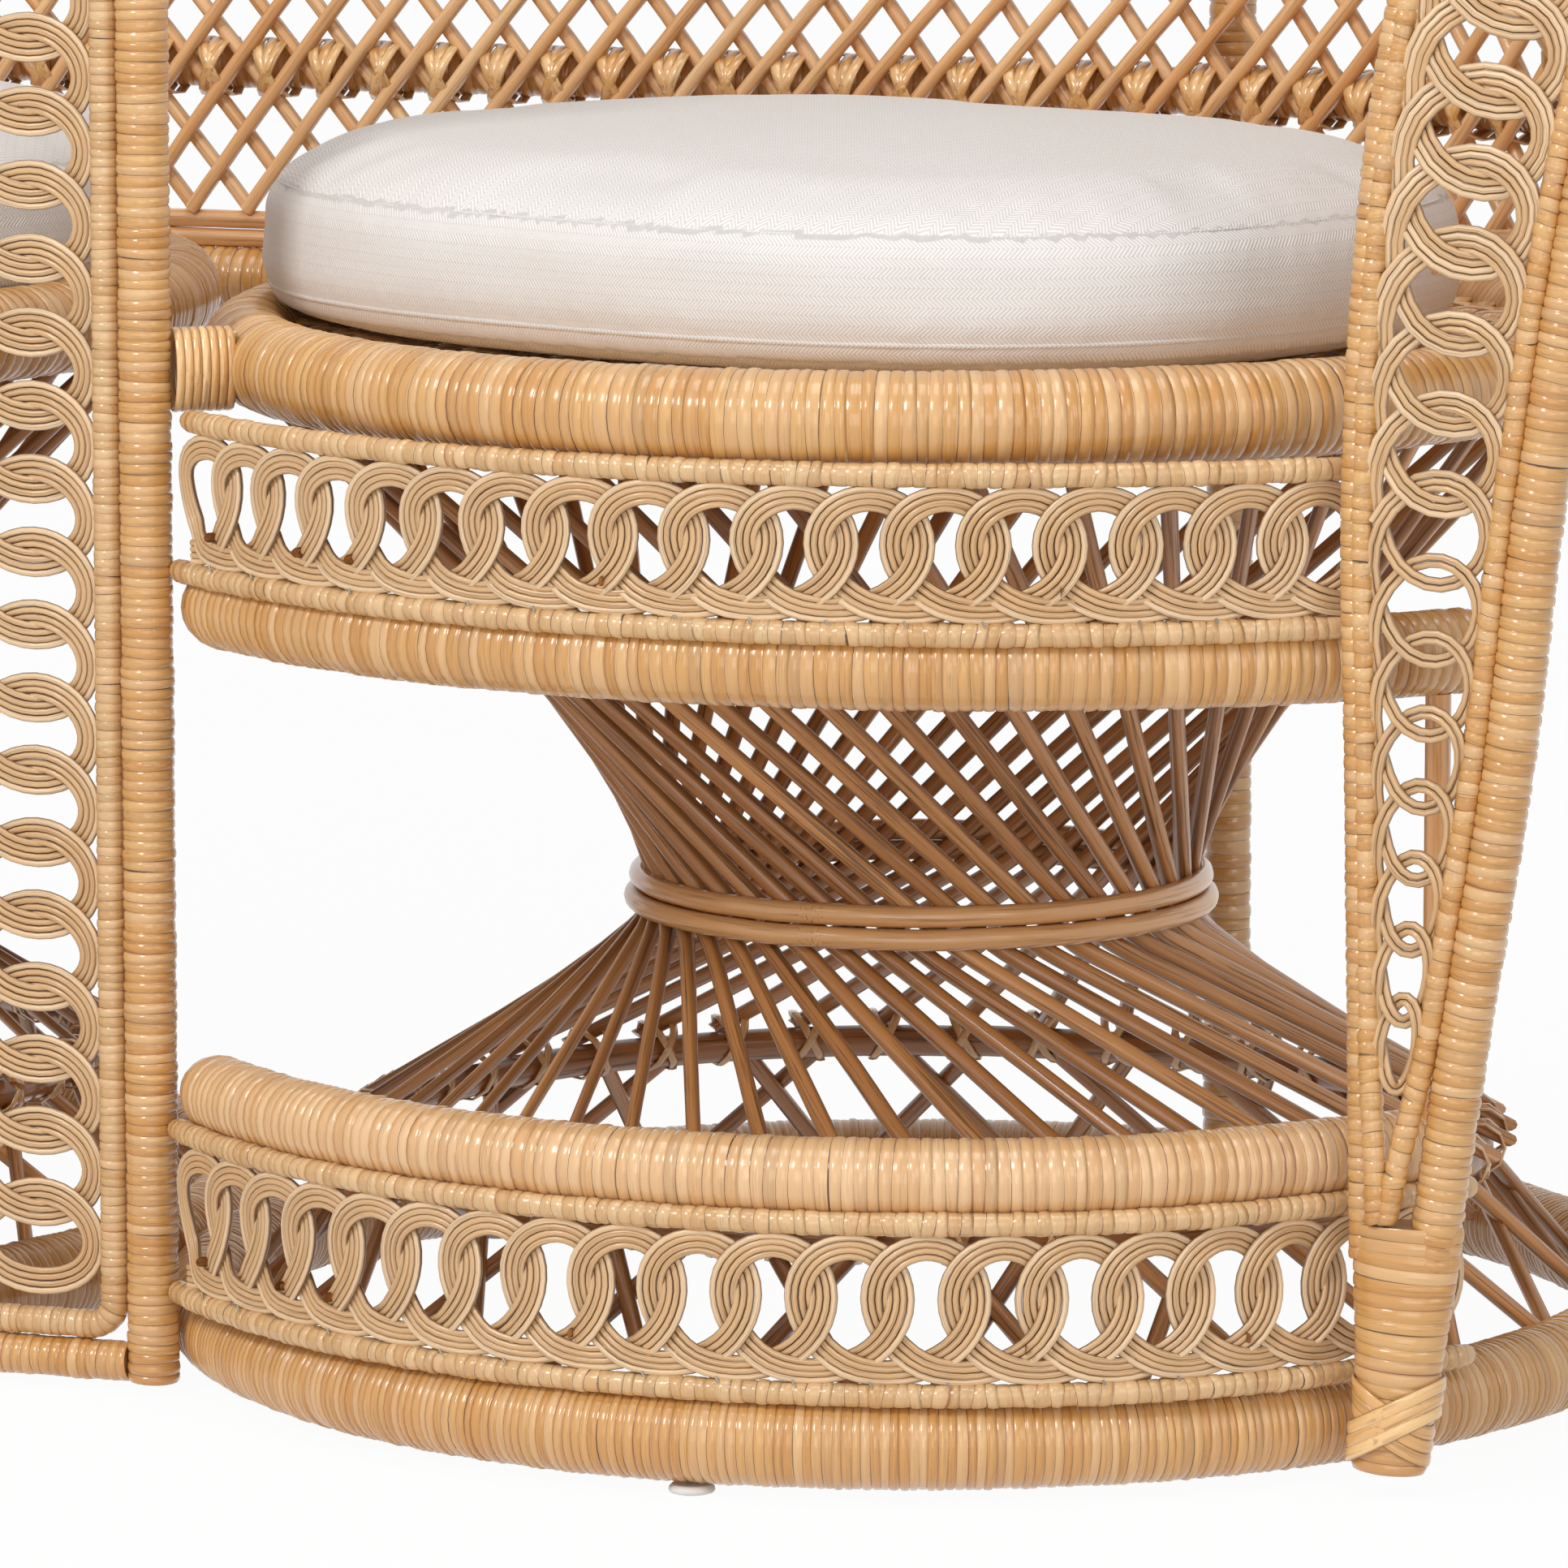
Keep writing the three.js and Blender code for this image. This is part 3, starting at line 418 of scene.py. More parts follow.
@dataclass(frozen=True)
class CaneFinish:
    """Finish of one kind of cane.

    Args:
        title: Name of the material.
        pale: Lightest colour of a strand, as a screen colour.
        deep: Darkest colour of a strand.
        gap: Colour between neighbours and in cracks, and of the painted shade on the flanks.
        roughness: Of a clean strand.
        lines: How strongly the fibres show.
        flecks: How strongly the dark flecks show.
        along: Fibres for each metre along the path.
        across: Fibres round the strand.
        wound: True where strips are wound round a pole.
        vary: How much neighbours differ.
        coat: Weight of the gloss over it.
        painted_flank_shade: How dark the painted shade makes a strand's flanks, where its neighbours touch it and
            where a lone rod's sides turn away.
    """

    title: str
    pale: int
    deep: int
    gap: int
    roughness: float
    lines: float
    flecks: float
    along: float
    across: float
    wound: bool = False
    vary: float = 1.0
    coat: float = 0.0
    painted_flank_shade: float = 0.0

    def build(self) -> bpy.types.Material:
        """Makes the material.

        Returns:
            A node material that reads the attributes run, ring, strand and crest.
        """
        material, w, shader = fresh_material(self.title)
        ring = w.split(w.named("ring", "Vector"))
        run = w.named("run")
        strand = w.named("strand")
        grain = w.join(
            w.times(ring[0], self.across),
            w.times(ring[1], self.across),
            w.plus(w.times(run, self.along), w.times(strand, 3.7)),
        )
        fibres = w.add("ShaderNodeGroup", node_tree=fibre_effect())
        w.put(fibres.inputs["Grain"], grain)
        fibres.inputs["Lines"].default_value = self.lines
        fibres.inputs["Flecks"].default_value = self.flecks
        chance = w.chance(w.whole(strand), 0.37)
        share = w.plus(w.times(chance, 0.62 * self.vary), w.times(fibres.outputs["Tone"], 0.55))
        tint = w.blend(w.ramp(share, 0.12, 1.0), colour(self.pale), colour(self.deep))
        tint = w.blend(fibres.outputs["Line"], tint, colour(self.gap))
        tint = w.blend(fibres.outputs["Fleck"], tint, colour(FLECK))
        # Painted shade: each strand's flanks are darkened towards the gap colour, as shade between neighbouring
        # strands and on a lone rod's round sides.
        if self.painted_flank_shade:
            painted_shade_share = w.ramp(w.sums("ABSOLUTE", ring[1]), 0.68, 1.0, 0.0, self.painted_flank_shade)
            tint = w.blend(painted_shade_share, tint, colour(self.gap))
        if self.wound:
            tint = self.wound_tint(w, tint, strand)
        w.put(shader.inputs["Base Color"], tint)
        w.put(shader.inputs["Roughness"], self.gloss(w, strand, fibres))
        shader.inputs["Specular IOR Level"].default_value = 0.5
        if self.coat:
            shader.inputs["Coat Weight"].default_value = self.coat
            shader.inputs["Coat Roughness"].default_value = 0.13
        height = w.minus(1.0, w.plus(fibres.outputs["Line"], fibres.outputs["Fleck"]))
        w.raise_surface(shader, height, 0.35, 0.4 * MM)
        return material

    def wound_tint(self, w: Wiring, tint: Any, strand: Any) -> Any:
        """Darkens the seams between wound strips, and a few strips that are aged.

        Args:
            w: The material's wiring.
            tint: The colour so far.
            strand: The strip's number.

        Returns:
            The colour with seams and aged strips.
        """
        index = w.whole(strand)
        crest = w.named("crest")
        ring = w.named("ring", "Vector")
        angle = w.times(w.chance(index, 5.1), 2 * math.pi)
        toward = w.join(w.sums("COSINE", angle), w.sums("SINE", angle))
        wedge = w.ramp(w.vectors("DOT_PRODUCT", ring, toward), 0.1, 1.0)
        open_gap = w.times(wedge, w.ramp(w.chance(index, 7.7), 0.45, 1.0, 0.0, 0.42))
        reach = w.plus(w.ramp(w.chance(index, 3.9), 0.0, 1.0, 0.07, 0.2), open_gap)
        seam = w.add("ShaderNodeMapRange")
        for socket, value in zip(seam.inputs, (crest, w.times(reach, 0.35), reach, 1.0, 0.0)):
            w.put(socket, value)
        cream = w.ramp(w.chance(index, 9.4), 0.5, 1.0, 0.0, 0.55)
        tint = w.blend(cream, tint, colour(CREAM))
        stained = w.times(w.ramp(w.chance(index, 12.6), 0.8, 1.0), w.ramp(crest, 0.95, 0.25))
        tint = w.blend(w.times(stained, 0.75), tint, colour(STAIN))
        aged = w.ramp(w.chance(index, 15.2), 0.93, 1.0, 0.0, 0.45)
        tint = w.blend(aged, tint, colour(AGED))
        depth = w.ramp(w.chance(index, 18.3), 0.0, 1.0, 0.6, 1.0)
        return w.blend(w.times(seam.outputs[0], depth), tint, colour(self.gap))

    def gloss(self, w: Wiring, strand: Any, fibres: bpy.types.Node) -> Any:
        """Roughness: each strand its own, rougher on lines and flecks."""
        index = w.whole(strand)
        own = w.ramp(w.chance(index, 2.2), 0.0, 1.0, self.roughness - 0.07, self.roughness + 0.14)
        marks = w.plus(fibres.outputs["Line"], fibres.outputs["Fleck"])
        return w.sums("MULTIPLY_ADD", marks, 0.3, own)


@dataclass(frozen=True)
class ClothFinish:
    """Herringbone cotton.

    Args:
        title: Name of the material.
        tint: Colour of the cloth.
        shade: Colour in the hollows of the weave.
        rib: Width of one column of the herringbone, in metres.
        yarn: Distance between the slanting yarns, in metres.
        cloud: Colour of the faint clouds over the cloth.
    """

    title: str = "herringbone cotton"
    tint: int = 0xF4F2F1
    shade: int = 0xC6BCB3
    rib: float = 0.0033
    yarn: float = 0.0016
    cloud: int = 0xE9DED3

    def build(self) -> bpy.types.Material:
        """Makes the material, which reads the attribute cloth."""
        material, w, shader = fresh_material(self.title)
        place = w.split(w.named("cloth", "Vector"))
        column = w.sums("PINGPONG", place[1], self.rib)
        slant = w.plus(place[0], column)
        wave = w.sums("SINE", w.times(slant, 2 * math.pi / self.yarn))
        yarns = w.ramp(wave, -1.0, 1.0)
        spine = w.ramp(w.sums("ABSOLUTE", w.minus(column, self.rib / 2)), self.rib * 0.4, self.rib * 0.5)
        solid = w.add("ShaderNodeTexCoord").outputs["Object"]
        slub = w.noise(w.vectors("MULTIPLY", solid, (1.0, 1.0, 3.0)), 420.0, 3.0)
        cloud = w.noise(solid, 14.0, 2.0)
        height = w.plus(yarns, w.times(slub, 0.5))
        dark = w.times(w.minus(1.0, yarns), 0.6)
        tint = w.blend(w.plus(dark, w.times(spine, 0.15)), colour(self.tint), colour(self.shade))
        tint = w.blend(w.ramp(cloud, 0.35, 0.75, 0.0, 0.22), tint, colour(self.cloud))
        w.put(shader.inputs["Base Color"], tint)
        shader.inputs["Roughness"].default_value = 0.92
        shader.inputs["Sheen Weight"].default_value = 0.15
        shader.inputs["Specular IOR Level"].default_value = 0.2
        w.raise_surface(shader, height, 0.5, 0.3 * MM)
        return material


@dataclass(frozen=True)
class PlainFinish:
    """Moulded plastic or steel with a faint unevenness."""

    title: str
    tint: int
    roughness: float
    metal: float = 0.0

    def build(self) -> bpy.types.Material:
        """Makes the material."""
        material, w, shader = fresh_material(self.title)
        solid = w.add("ShaderNodeTexCoord").outputs["Object"]
        cloud = w.noise(solid, 160.0, 3.0)
        dull = tuple(0.82 * c for c in colour(self.tint)[:3]) + (1.0,)
        w.put(shader.inputs["Base Color"], w.blend(w.ramp(cloud, 0.4, 0.8, 0.0, 0.6), colour(self.tint), dull))
        w.put(shader.inputs["Roughness"], w.ramp(cloud, 0.3, 0.7, self.roughness - 0.06, self.roughness + 0.06))
        shader.inputs["Metallic"].default_value = self.metal
        return material


class Finishes:
    """All materials of the chair, made once."""

    def __init__(self) -> None:
        """Builds every finish."""
        wound = {"along": 2300.0, "across": 0.7, "wound": True, "vary": 0.8}
        self.wrap = CaneFinish("wound cane strip", 0xE0B070, 0xC7883F, 0x42200A, roughness=0.28, lines=0.26,
                               flecks=0.8, coat=0.6, **wound).build()
        self.pale = CaneFinish("pale wound strip", 0xEFC798, 0xD6A064, 0x42200A, roughness=0.28, lines=0.24,
                               flecks=0.6, coat=0.6, **wound).build()
        self.rim = CaneFinish("wound rim strip", 0xE2BF8F, 0xC79559, 0x462410, roughness=0.3, lines=0.22,
                              flecks=0.6, coat=0.5, **wound).build()
        self.core = CaneFinish("loop cane", 0xEECFA8, 0xD0A471, 0x4A260E, roughness=0.36, lines=0.5, flecks=0.4,
                               along=26.0, across=3.4, vary=0.9, coat=0.3, painted_flank_shade=0.9).build()
        self.rod = CaneFinish("bare rattan rod", 0xE2A365, 0x9E6430, 0x351A08, roughness=0.36, lines=0.75,
                              flecks=0.8, along=18.0, across=3.0, coat=0.3, painted_flank_shade=0.5).build()
        self.lattice = CaneFinish("pale rattan rod", 0xFDD39E, 0xE6AA6C, 0x6A3A16, roughness=0.34, lines=0.4,
                                  flecks=0.5, along=20.0, across=2.4, coat=0.6, painted_flank_shade=0.3).build()
        self.strip = CaneFinish("tie strip", 0xFAD094, 0xE0A660, 0x562C10, roughness=0.26, lines=0.4, flecks=0.4,
                                along=26.0, across=1.4, coat=0.8, painted_flank_shade=0.5).build()
        self.cotton = ClothFinish().build()
        self.plastic = PlainFinish("white plastic", 0xECECEA, 0.42).build()
        self.steel = PlainFinish("staple wire", 0x9A958E, 0.4, 0.8).build()


# Geometry node trees


class Shaper:
    """A geometry node tree with named inputs, run once for each piece."""

    def __init__(self, title: str, inputs: Sequence[tuple[str, str, Any]]) -> None:
        """Starts the tree.

        Args:
            title: Name of the tree.
            inputs: Name, kind of socket and first value of each input after the path.
        """
        self.tree = bpy.data.node_groups.new(title, "GeometryNodeTree")
        self.tree.interface.new_socket("Path", in_out="INPUT", socket_type="NodeSocketGeometry")
        self.keys: dict[str, str] = {}
        for name, kind, value in inputs:
            socket = self.tree.interface.new_socket(name, in_out="INPUT", socket_type=kind)
            if value is not None:
                socket.default_value = value
            self.keys[name] = socket.identifier
        self.tree.interface.new_socket("Piece", in_out="OUTPUT", socket_type="NodeSocketGeometry")
        self.w = Wiring(self.tree)
        self.entry = self.w.add("NodeGroupInput").outputs
        self.shape(self.entry["Path"])

    def shape(self, path: bpy.types.NodeSocket) -> None:
        """Adds the nodes that turn the path into the piece."""
        raise NotImplementedError

    def store(self, geometry: Any, name: str, value: Any, kind: str = "FLOAT") -> Any:
        """Keeps a value on every point under a name."""
        node = self.w.add("GeometryNodeStoreNamedAttribute", data_type=kind, domain="POINT")
        self.w.put(node.inputs["Geometry"], geometry)
        node.inputs["Name"].default_value = name
        self.w.put(next(s for s in node.inputs if s.name == "Value" and s.enabled), value)
        return node.outputs["Geometry"]

    def kept(self, name: str, kind: str = "FLOAT") -> Any:
        """Reads a value kept on the points."""
        node = self.w.add("GeometryNodeInputNamedAttribute", data_type=kind)
        node.inputs["Name"].default_value = name
        return next(s for s in node.outputs if s.name == "Attribute" and s.enabled)

    def pick(self, low: Any, high: Any, seed: Any, index: Any, kind: str = "FLOAT") -> Any:
        """A random number or vector for each index."""
        node = self.w.add("FunctionNodeRandomValue", data_type=kind)
        sockets = {s.name: s for s in node.inputs if s.enabled}
        for name, value in (("Min", low), ("Max", high), ("ID", index), ("Seed", seed)):
            self.w.put(sockets[name], value)
        return next(s for s in node.outputs if s.enabled)

    def moved(self, geometry: Any, offset: Any) -> Any:
        """Moves every point by an offset."""
        node = self.w.add("GeometryNodeSetPosition")
        self.w.put(node.inputs["Geometry"], geometry)
        self.w.put(node.inputs["Offset"], offset)
        return node.outputs[0]

    def section(self, scale: Any) -> Any:
        """A unit circle that remembers where each of its points is, then scaled."""
        circle = self.w.add("GeometryNodeCurvePrimitiveCircle")
        self.w.put(circle.inputs["Resolution"], self.entry["Sides"])
        circle.inputs["Radius"].default_value = 1.0
        place = self.w.add("GeometryNodeInputPosition").outputs[0]
        kept = self.store(circle.outputs[0], "ring", place, "FLOAT_VECTOR")
        sized = self.w.add("GeometryNodeTransform")
        self.w.put(sized.inputs["Geometry"], kept)
        self.w.put(sized.inputs["Scale"], scale)
        return sized.outputs[0]

    def swept(self, curve: Any, profile: Any, scale: Any) -> Any:
        """Sweeps a section along a curve and closes the ends."""
        node = self.w.add("GeometryNodeCurveToMesh")
        for name, value in (("Curve", curve), ("Profile Curve", profile), ("Scale", scale), ("Fill Caps", True)):
            self.w.put(node.inputs[name], value)
        return node.outputs[0]

    def close(self, mesh: Any) -> None:
        """Ends the tree: smooth shading, real geometry, the finish."""
        smooth = self.w.add("GeometryNodeSetShadeSmooth")
        self.w.put(smooth.inputs["Geometry"], mesh)
        real = self.w.add("GeometryNodeRealizeInstances")
        self.w.put(real.inputs["Geometry"], smooth.outputs[0])
        dressed = self.w.add("GeometryNodeSetMaterial")
        self.w.put(dressed.inputs["Geometry"], real.outputs[0])
        self.w.put(dressed.inputs["Material"], self.entry["Finish"])
        leave = self.w.add("NodeGroupOutput")
        self.w.put(leave.inputs[0], dressed.outputs[0])

    def run(self, name: str, lines: Sequence[Line], **sizes: Any) -> bpy.types.Object:
        """Makes one plain mesh piece.

        Args:
            name: Name of the piece.
            lines: The paths that it follows.
            sizes: Values of the tree's inputs, by name.

        Returns:
            The finished object, at the origin, with no modifier.
        """
        source = path_object(name + "_path", lines)
        modifier = source.modifiers.new("shape", "NODES")
        modifier.node_group = self.tree
        for key, value in sizes.items():
            modifier[self.keys[key]] = value
        mesh = finished_mesh(source)
        bpy.data.objects.remove(source)
        mesh.name = name
        return linked(name, mesh)


def path_object(name: str, lines: Sequence[Line]) -> bpy.types.Object:
    """A mesh of edges that carries facing, girth, spread and the line's number.

    Args:
        name: Name of the object.
        lines: The paths.

    Returns:
        The object.
    """
    points = np.concatenate([line.points for line in lines])
    edges: list[tuple[int, int]] = []
    start = 0
    for line in lines:
        n = len(line.points)
        edges += [(start + i, start + i + 1) for i in range(n - 1)]
        if line.closed:
            edges.append((start + n - 1, start))
        start += n
    mesh = bpy.data.meshes.new(name)
    mesh.from_pydata(points.tolist(), edges, [])
    ones = [np.ones(len(line.points)) for line in lines]
    rows = {
        "facing": np.concatenate([line.facing for line in lines]),
        "girth": np.concatenate([o if line.girth is None else line.girth for o, line in zip(ones, lines)]),
        "spread": np.concatenate([o if line.spread is None else line.spread for o, line in zip(ones, lines)]),
        "piece": np.concatenate([o * i for i, o in enumerate(ones)]),
    }
    for key, values in rows.items():
        write_row(mesh, key, values)
    return linked(name, mesh)


class WindingShaper(Shaper):
    """Strips of cane wound round a pole: one raised ring for each strip."""

    SECTIONS = 4.0

    def __init__(self) -> None:
        """Names the inputs."""
        super().__init__("Wound pole", [
            ("Radius", NUMBER, 0.016), ("Pitch", NUMBER, 0.0045), ("Ridge", NUMBER, 0.0005),
            ("Wander", NUMBER, 1.0), ("Sides", WHOLE, 16), ("Closed", WHOLE, 0), ("Seed", WHOLE, 1),
            ("Finish", "NodeSocketMaterial", None),
        ])

    def shape(self, path: bpy.types.NodeSocket) -> None:
        """Adds the nodes of the wound pole."""
        w, e = self.w, self.entry
        curve = w.add("GeometryNodeMeshToCurve")
        w.put(curve.inputs[0], path)
        length = w.add("GeometryNodeCurveLength")
        w.put(length.inputs[0], curve.outputs[0])
        strips = w.sums("ROUND", w.sums("DIVIDE", length.outputs[0], e["Pitch"]))
        count = w.plus(w.times(strips, self.SECTIONS), w.minus(1.0, e["Closed"]))
        even = w.add("GeometryNodeResampleCurve", mode="COUNT")
        w.put(even.inputs["Curve"], curve.outputs[0])
        w.put(even.inputs["Count"], count)
        index = w.add("GeometryNodeInputIndex").outputs[0]
        strip = w.sums("FLOOR", w.sums("DIVIDE", w.plus(index, 0.5), self.SECTIONS))
        phase = w.minus(index, w.times(strip, self.SECTIONS))
        off = w.minus(phase, 2.0)
        crest = w.minus(1.0, w.times(w.times(off, off), 0.3))
        run = w.add("GeometryNodeSplineParameter").outputs["Length"]
        tangent = w.add("GeometryNodeInputTangent").outputs[0]
        place = w.add("GeometryNodeInputPosition").outputs[0]
        kept = self.store(even.outputs[0], "strand", strip)
        kept = self.store(kept, "crest", w.ramp(crest, -0.2, 1.0))
        kept = self.store(kept, "run", run)
        kept = self.store(kept, "axis", tangent, "FLOAT_VECTOR")
        lean = self.pick((-1.0, -1.0, -1.0), (1.0, 1.0, 1.0), e["Seed"], strip, "FLOAT_VECTOR")
        kept = self.store(kept, "lean", lean, "FLOAT_VECTOR")
        height = self.pick(-0.55, 0.45, w.plus(e["Seed"], 7.0), strip)
        swell = w.sums("MULTIPLY_ADD", w.times(height, e["Wander"]), w.ramp(crest, 0.0, 1.0), crest)
        radius = w.sums("MULTIPLY_ADD", swell, e["Ridge"], w.minus(e["Radius"], e["Ridge"]))
        kept = self.store(kept, "thick", w.times(radius, self.kept("girth")))
        kept = self.store(kept, "middle", place, "FLOAT_VECTOR")
        sides = w.times(off, w.sums("MODULO", phase, 2.0))
        slide = w.times(w.times(sides, 0.14), e["Pitch"])
        kept = self.moved(kept, w.vectors("SCALE", self.kept("axis", "FLOAT_VECTOR"), scale=slide))
        mesh = self.swept(kept, self.section((1.0, 1.0, 1.0)), self.kept("thick"))
        self.close(self.moved(mesh, self.tilt(w, e)))

    def tilt(self, w: Wiring, e: Any) -> Any:
        """Offset that leans each strip's rings a little along the pole."""
        place = w.add("GeometryNodeInputPosition").outputs[0]
        arm = w.vectors("SUBTRACT", place, self.kept("middle", "FLOAT_VECTOR"))
        turn = w.vectors("DOT_PRODUCT", w.vectors("NORMALIZE", arm), self.kept("lean", "FLOAT_VECTOR"))
        amount = w.times(w.times(turn, e["Wander"]), w.times(e["Pitch"], 0.13))
        return w.vectors("SCALE", self.kept("axis", "FLOAT_VECTOR"), scale=amount)


class CaneShaper(Shaper):
    """Strands of cane side by side along paths: rods, bundles and flat strips."""

    def __init__(self) -> None:
        """Names the inputs."""
        super().__init__("Cane strands", [
            ("Width", NUMBER, 0.003), ("Thickness", NUMBER, 0.003), ("Spacing", NUMBER, 0.003),
            ("Strands", WHOLE, 1), ("Sides", WHOLE, 8), ("Wander", NUMBER, 0.0),
            ("Finish", "NodeSocketMaterial", None),
        ])

    def shape(self, path: bpy.types.NodeSocket) -> None:
        """Adds the nodes of the strands."""
        w, e = self.w, self.entry
        curve = w.add("GeometryNodeMeshToCurve")
        w.put(curve.inputs[0], path)
        run = w.add("GeometryNodeSplineParameter").outputs["Length"]
        kept = self.store(curve.outputs[0], "run", run)
        copies = w.add("GeometryNodeDuplicateElements", domain="SPLINE")
        w.put(copies.inputs["Geometry"], kept)
        w.put(copies.inputs["Amount"], e["Strands"])
        number = copies.outputs["Duplicate Index"]
        kept = self.store(copies.outputs["Geometry"], "copy", number)
        middle = w.times(w.minus(e["Strands"], 1.0), 0.5)
        place = w.times(w.minus(self.kept("copy"), middle), e["Spacing"])
        tangent = w.add("GeometryNodeInputTangent").outputs[0]
        facing = self.kept("facing", "FLOAT_VECTOR")
        across = w.vectors("NORMALIZE", w.vectors("CROSS_PRODUCT", tangent, facing))
        strand = w.sums("MULTIPLY_ADD", self.kept("piece"), e["Strands"], self.kept("copy"))
        kept = self.store(kept, "strand", strand)
        kept = self.store(kept, "across", across, "FLOAT_VECTOR")
        amount = w.times(place, self.kept("spread"))
        wave = w.add("ShaderNodeTexNoise", noise_dimensions="4D")
        w.put(wave.inputs["Vector"], w.add("GeometryNodeInputPosition").outputs[0])
        w.put(wave.inputs["W"], w.times(self.kept("strand"), 5.3))
        wave.inputs["Scale"].default_value = 60.0
        stray = w.vectors("SCALE", w.vectors("SUBTRACT", wave.outputs["Color"], (0.5, 0.5, 0.5)), scale=e["Wander"])
        shift = w.vectors("ADD", w.vectors("SCALE", self.kept("across", "FLOAT_VECTOR"), scale=amount), stray)
        kept = self.moved(kept, shift)
        normal = w.add("GeometryNodeSetCurveNormal", mode="FREE")
        w.put(normal.inputs["Curve"], kept)
        w.put(normal.inputs["Normal"], facing)
        half = w.join(w.times(e["Thickness"], 0.5), w.times(e["Width"], 0.5), 1.0)
        self.close(self.swept(normal.outputs[0], self.section(half), self.kept("girth")))


class Workshop:
    """The finishes and shapers that every sub-assembly uses, and the list of what was made."""

    def __init__(self) -> None:
        """Makes the finishes and the node trees."""
        self.finish = Finishes()
        self.winding = WindingShaper()
        self.cane = CaneShaper()
        self.made: list[str] = []

    def keep(self, piece: bpy.types.Object, slot: Slot, nodes: Sequence[str], body: str = BODY) -> bpy.types.Object:
        """Rides a finished piece on its body and says which nodes it stands for.

        Args:
            piece: The finished piece.
            slot: Its material slot; not used.
            nodes: CAD nodes that it replaces.
            body: The body that it moves with.

        Returns:
            The same piece.
        """
        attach(piece, body)
        if nodes:
            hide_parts(*nodes)
        self.made.append(piece.name)
        LOG.info("%s: %d faces, stands for %s", piece.name, len(piece.data.polygons), ", ".join(nodes) or "nothing")
        return piece

    def wound(self, name: str, line: Line, radius: float, pitch: float, nodes: Sequence[str], *,
              sides: int = 16, ridge: float = 0.0006, vary: float = 1.0, finish: Any = None) -> bpy.types.Object:
        """A pole wound with strips.

        Args:
            name: Name of the piece.
            line: The pole's middle line.
            radius: Outer radius, in metres.
            pitch: Width of a strip.
            nodes: CAD nodes that it replaces.
            sides: Sides of its section.
            ridge: How far a strip's middle stands out.
            vary: How uneven the winding is.
            finish: Its material, if not the common one.

        Returns:
            The piece.
        """
        seed = sum(ord(c) for c in name) % 97
        piece = self.winding.run(name, [line], Radius=radius, Pitch=pitch, Ridge=ridge, Wander=vary, Sides=sides,
                                 Closed=int(line.closed), Seed=seed, Finish=finish or self.finish.wrap)
        return self.keep(piece, Slot.WRAP, nodes)

    def strands(self, name: str, lines: Sequence[Line], width: float, nodes: Sequence[str], slot: Slot,
                finish: Any, *, thick: float | None = None, strands: int = 1, spacing: float = 0.0, sides: int = 8,
                wander: float = 0.0) -> bpy.types.Object:
        """Rods, a bundle of strands or flat strips.

        Args:
            name: Name of the piece.
            lines: The paths.
            width: Width of a strand, in metres.
            nodes: CAD nodes that it replaces.
            slot: Its material slot; not used.
            finish: Its material.
            thick: Thickness of a strand, if it isn't round.
            strands: Strands side by side on each path.
            spacing: Distance between them.
            sides: Sides of a strand's section.
            wander: How far a strand strays.

        Returns:
            The piece.
        """
        piece = self.cane.run(name, lines, Width=width, Thickness=thick or width, Spacing=spacing, Strands=strands,
                              Sides=sides, Wander=wander, Finish=finish)
        return self.keep(piece, slot, nodes)


def on_both(make: Callable[[Side], None]) -> None:
    """Makes something for the right half and then for the left."""
    for side in Side:
        make(side)


def sided(line: Line, side: Side) -> Line:
    """A right-hand path, or its mirror image for the left half."""
    return line if side is Side.RIGHT else line.mirrored()


# The seats


@dataclass
class SeatAxis:
    """Where the right seat's axis stands, read from the frame."""

    x: float = field(default_factory=lambda: sum(c.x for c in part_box("waist_hoop_right")) / 2)
    y: float = field(default_factory=lambda: sum(c.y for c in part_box("waist_hoop_right")) / 2)

    def around(self, radius: Any, angle: Any, z: Any, shift: float = 0.0) -> np.ndarray:
        """Points on circles round the axis; angles run from the front towards the outer side."""
        return xyz(self.x + radius * np.sin(angle), self.y + shift - radius * np.cos(angle), z)

    def outward(self, points: np.ndarray) -> np.ndarray:
        """Level directions away from the axis."""
        return unit((points - np.array([self.x, self.y, 0.0])) * np.array([1.0, 1.0, 0.0]))

    def path(self, points: np.ndarray, closed: bool = False) -> Line:
        """A path that faces away from the axis."""
        return Line(points, self.outward(points), closed)


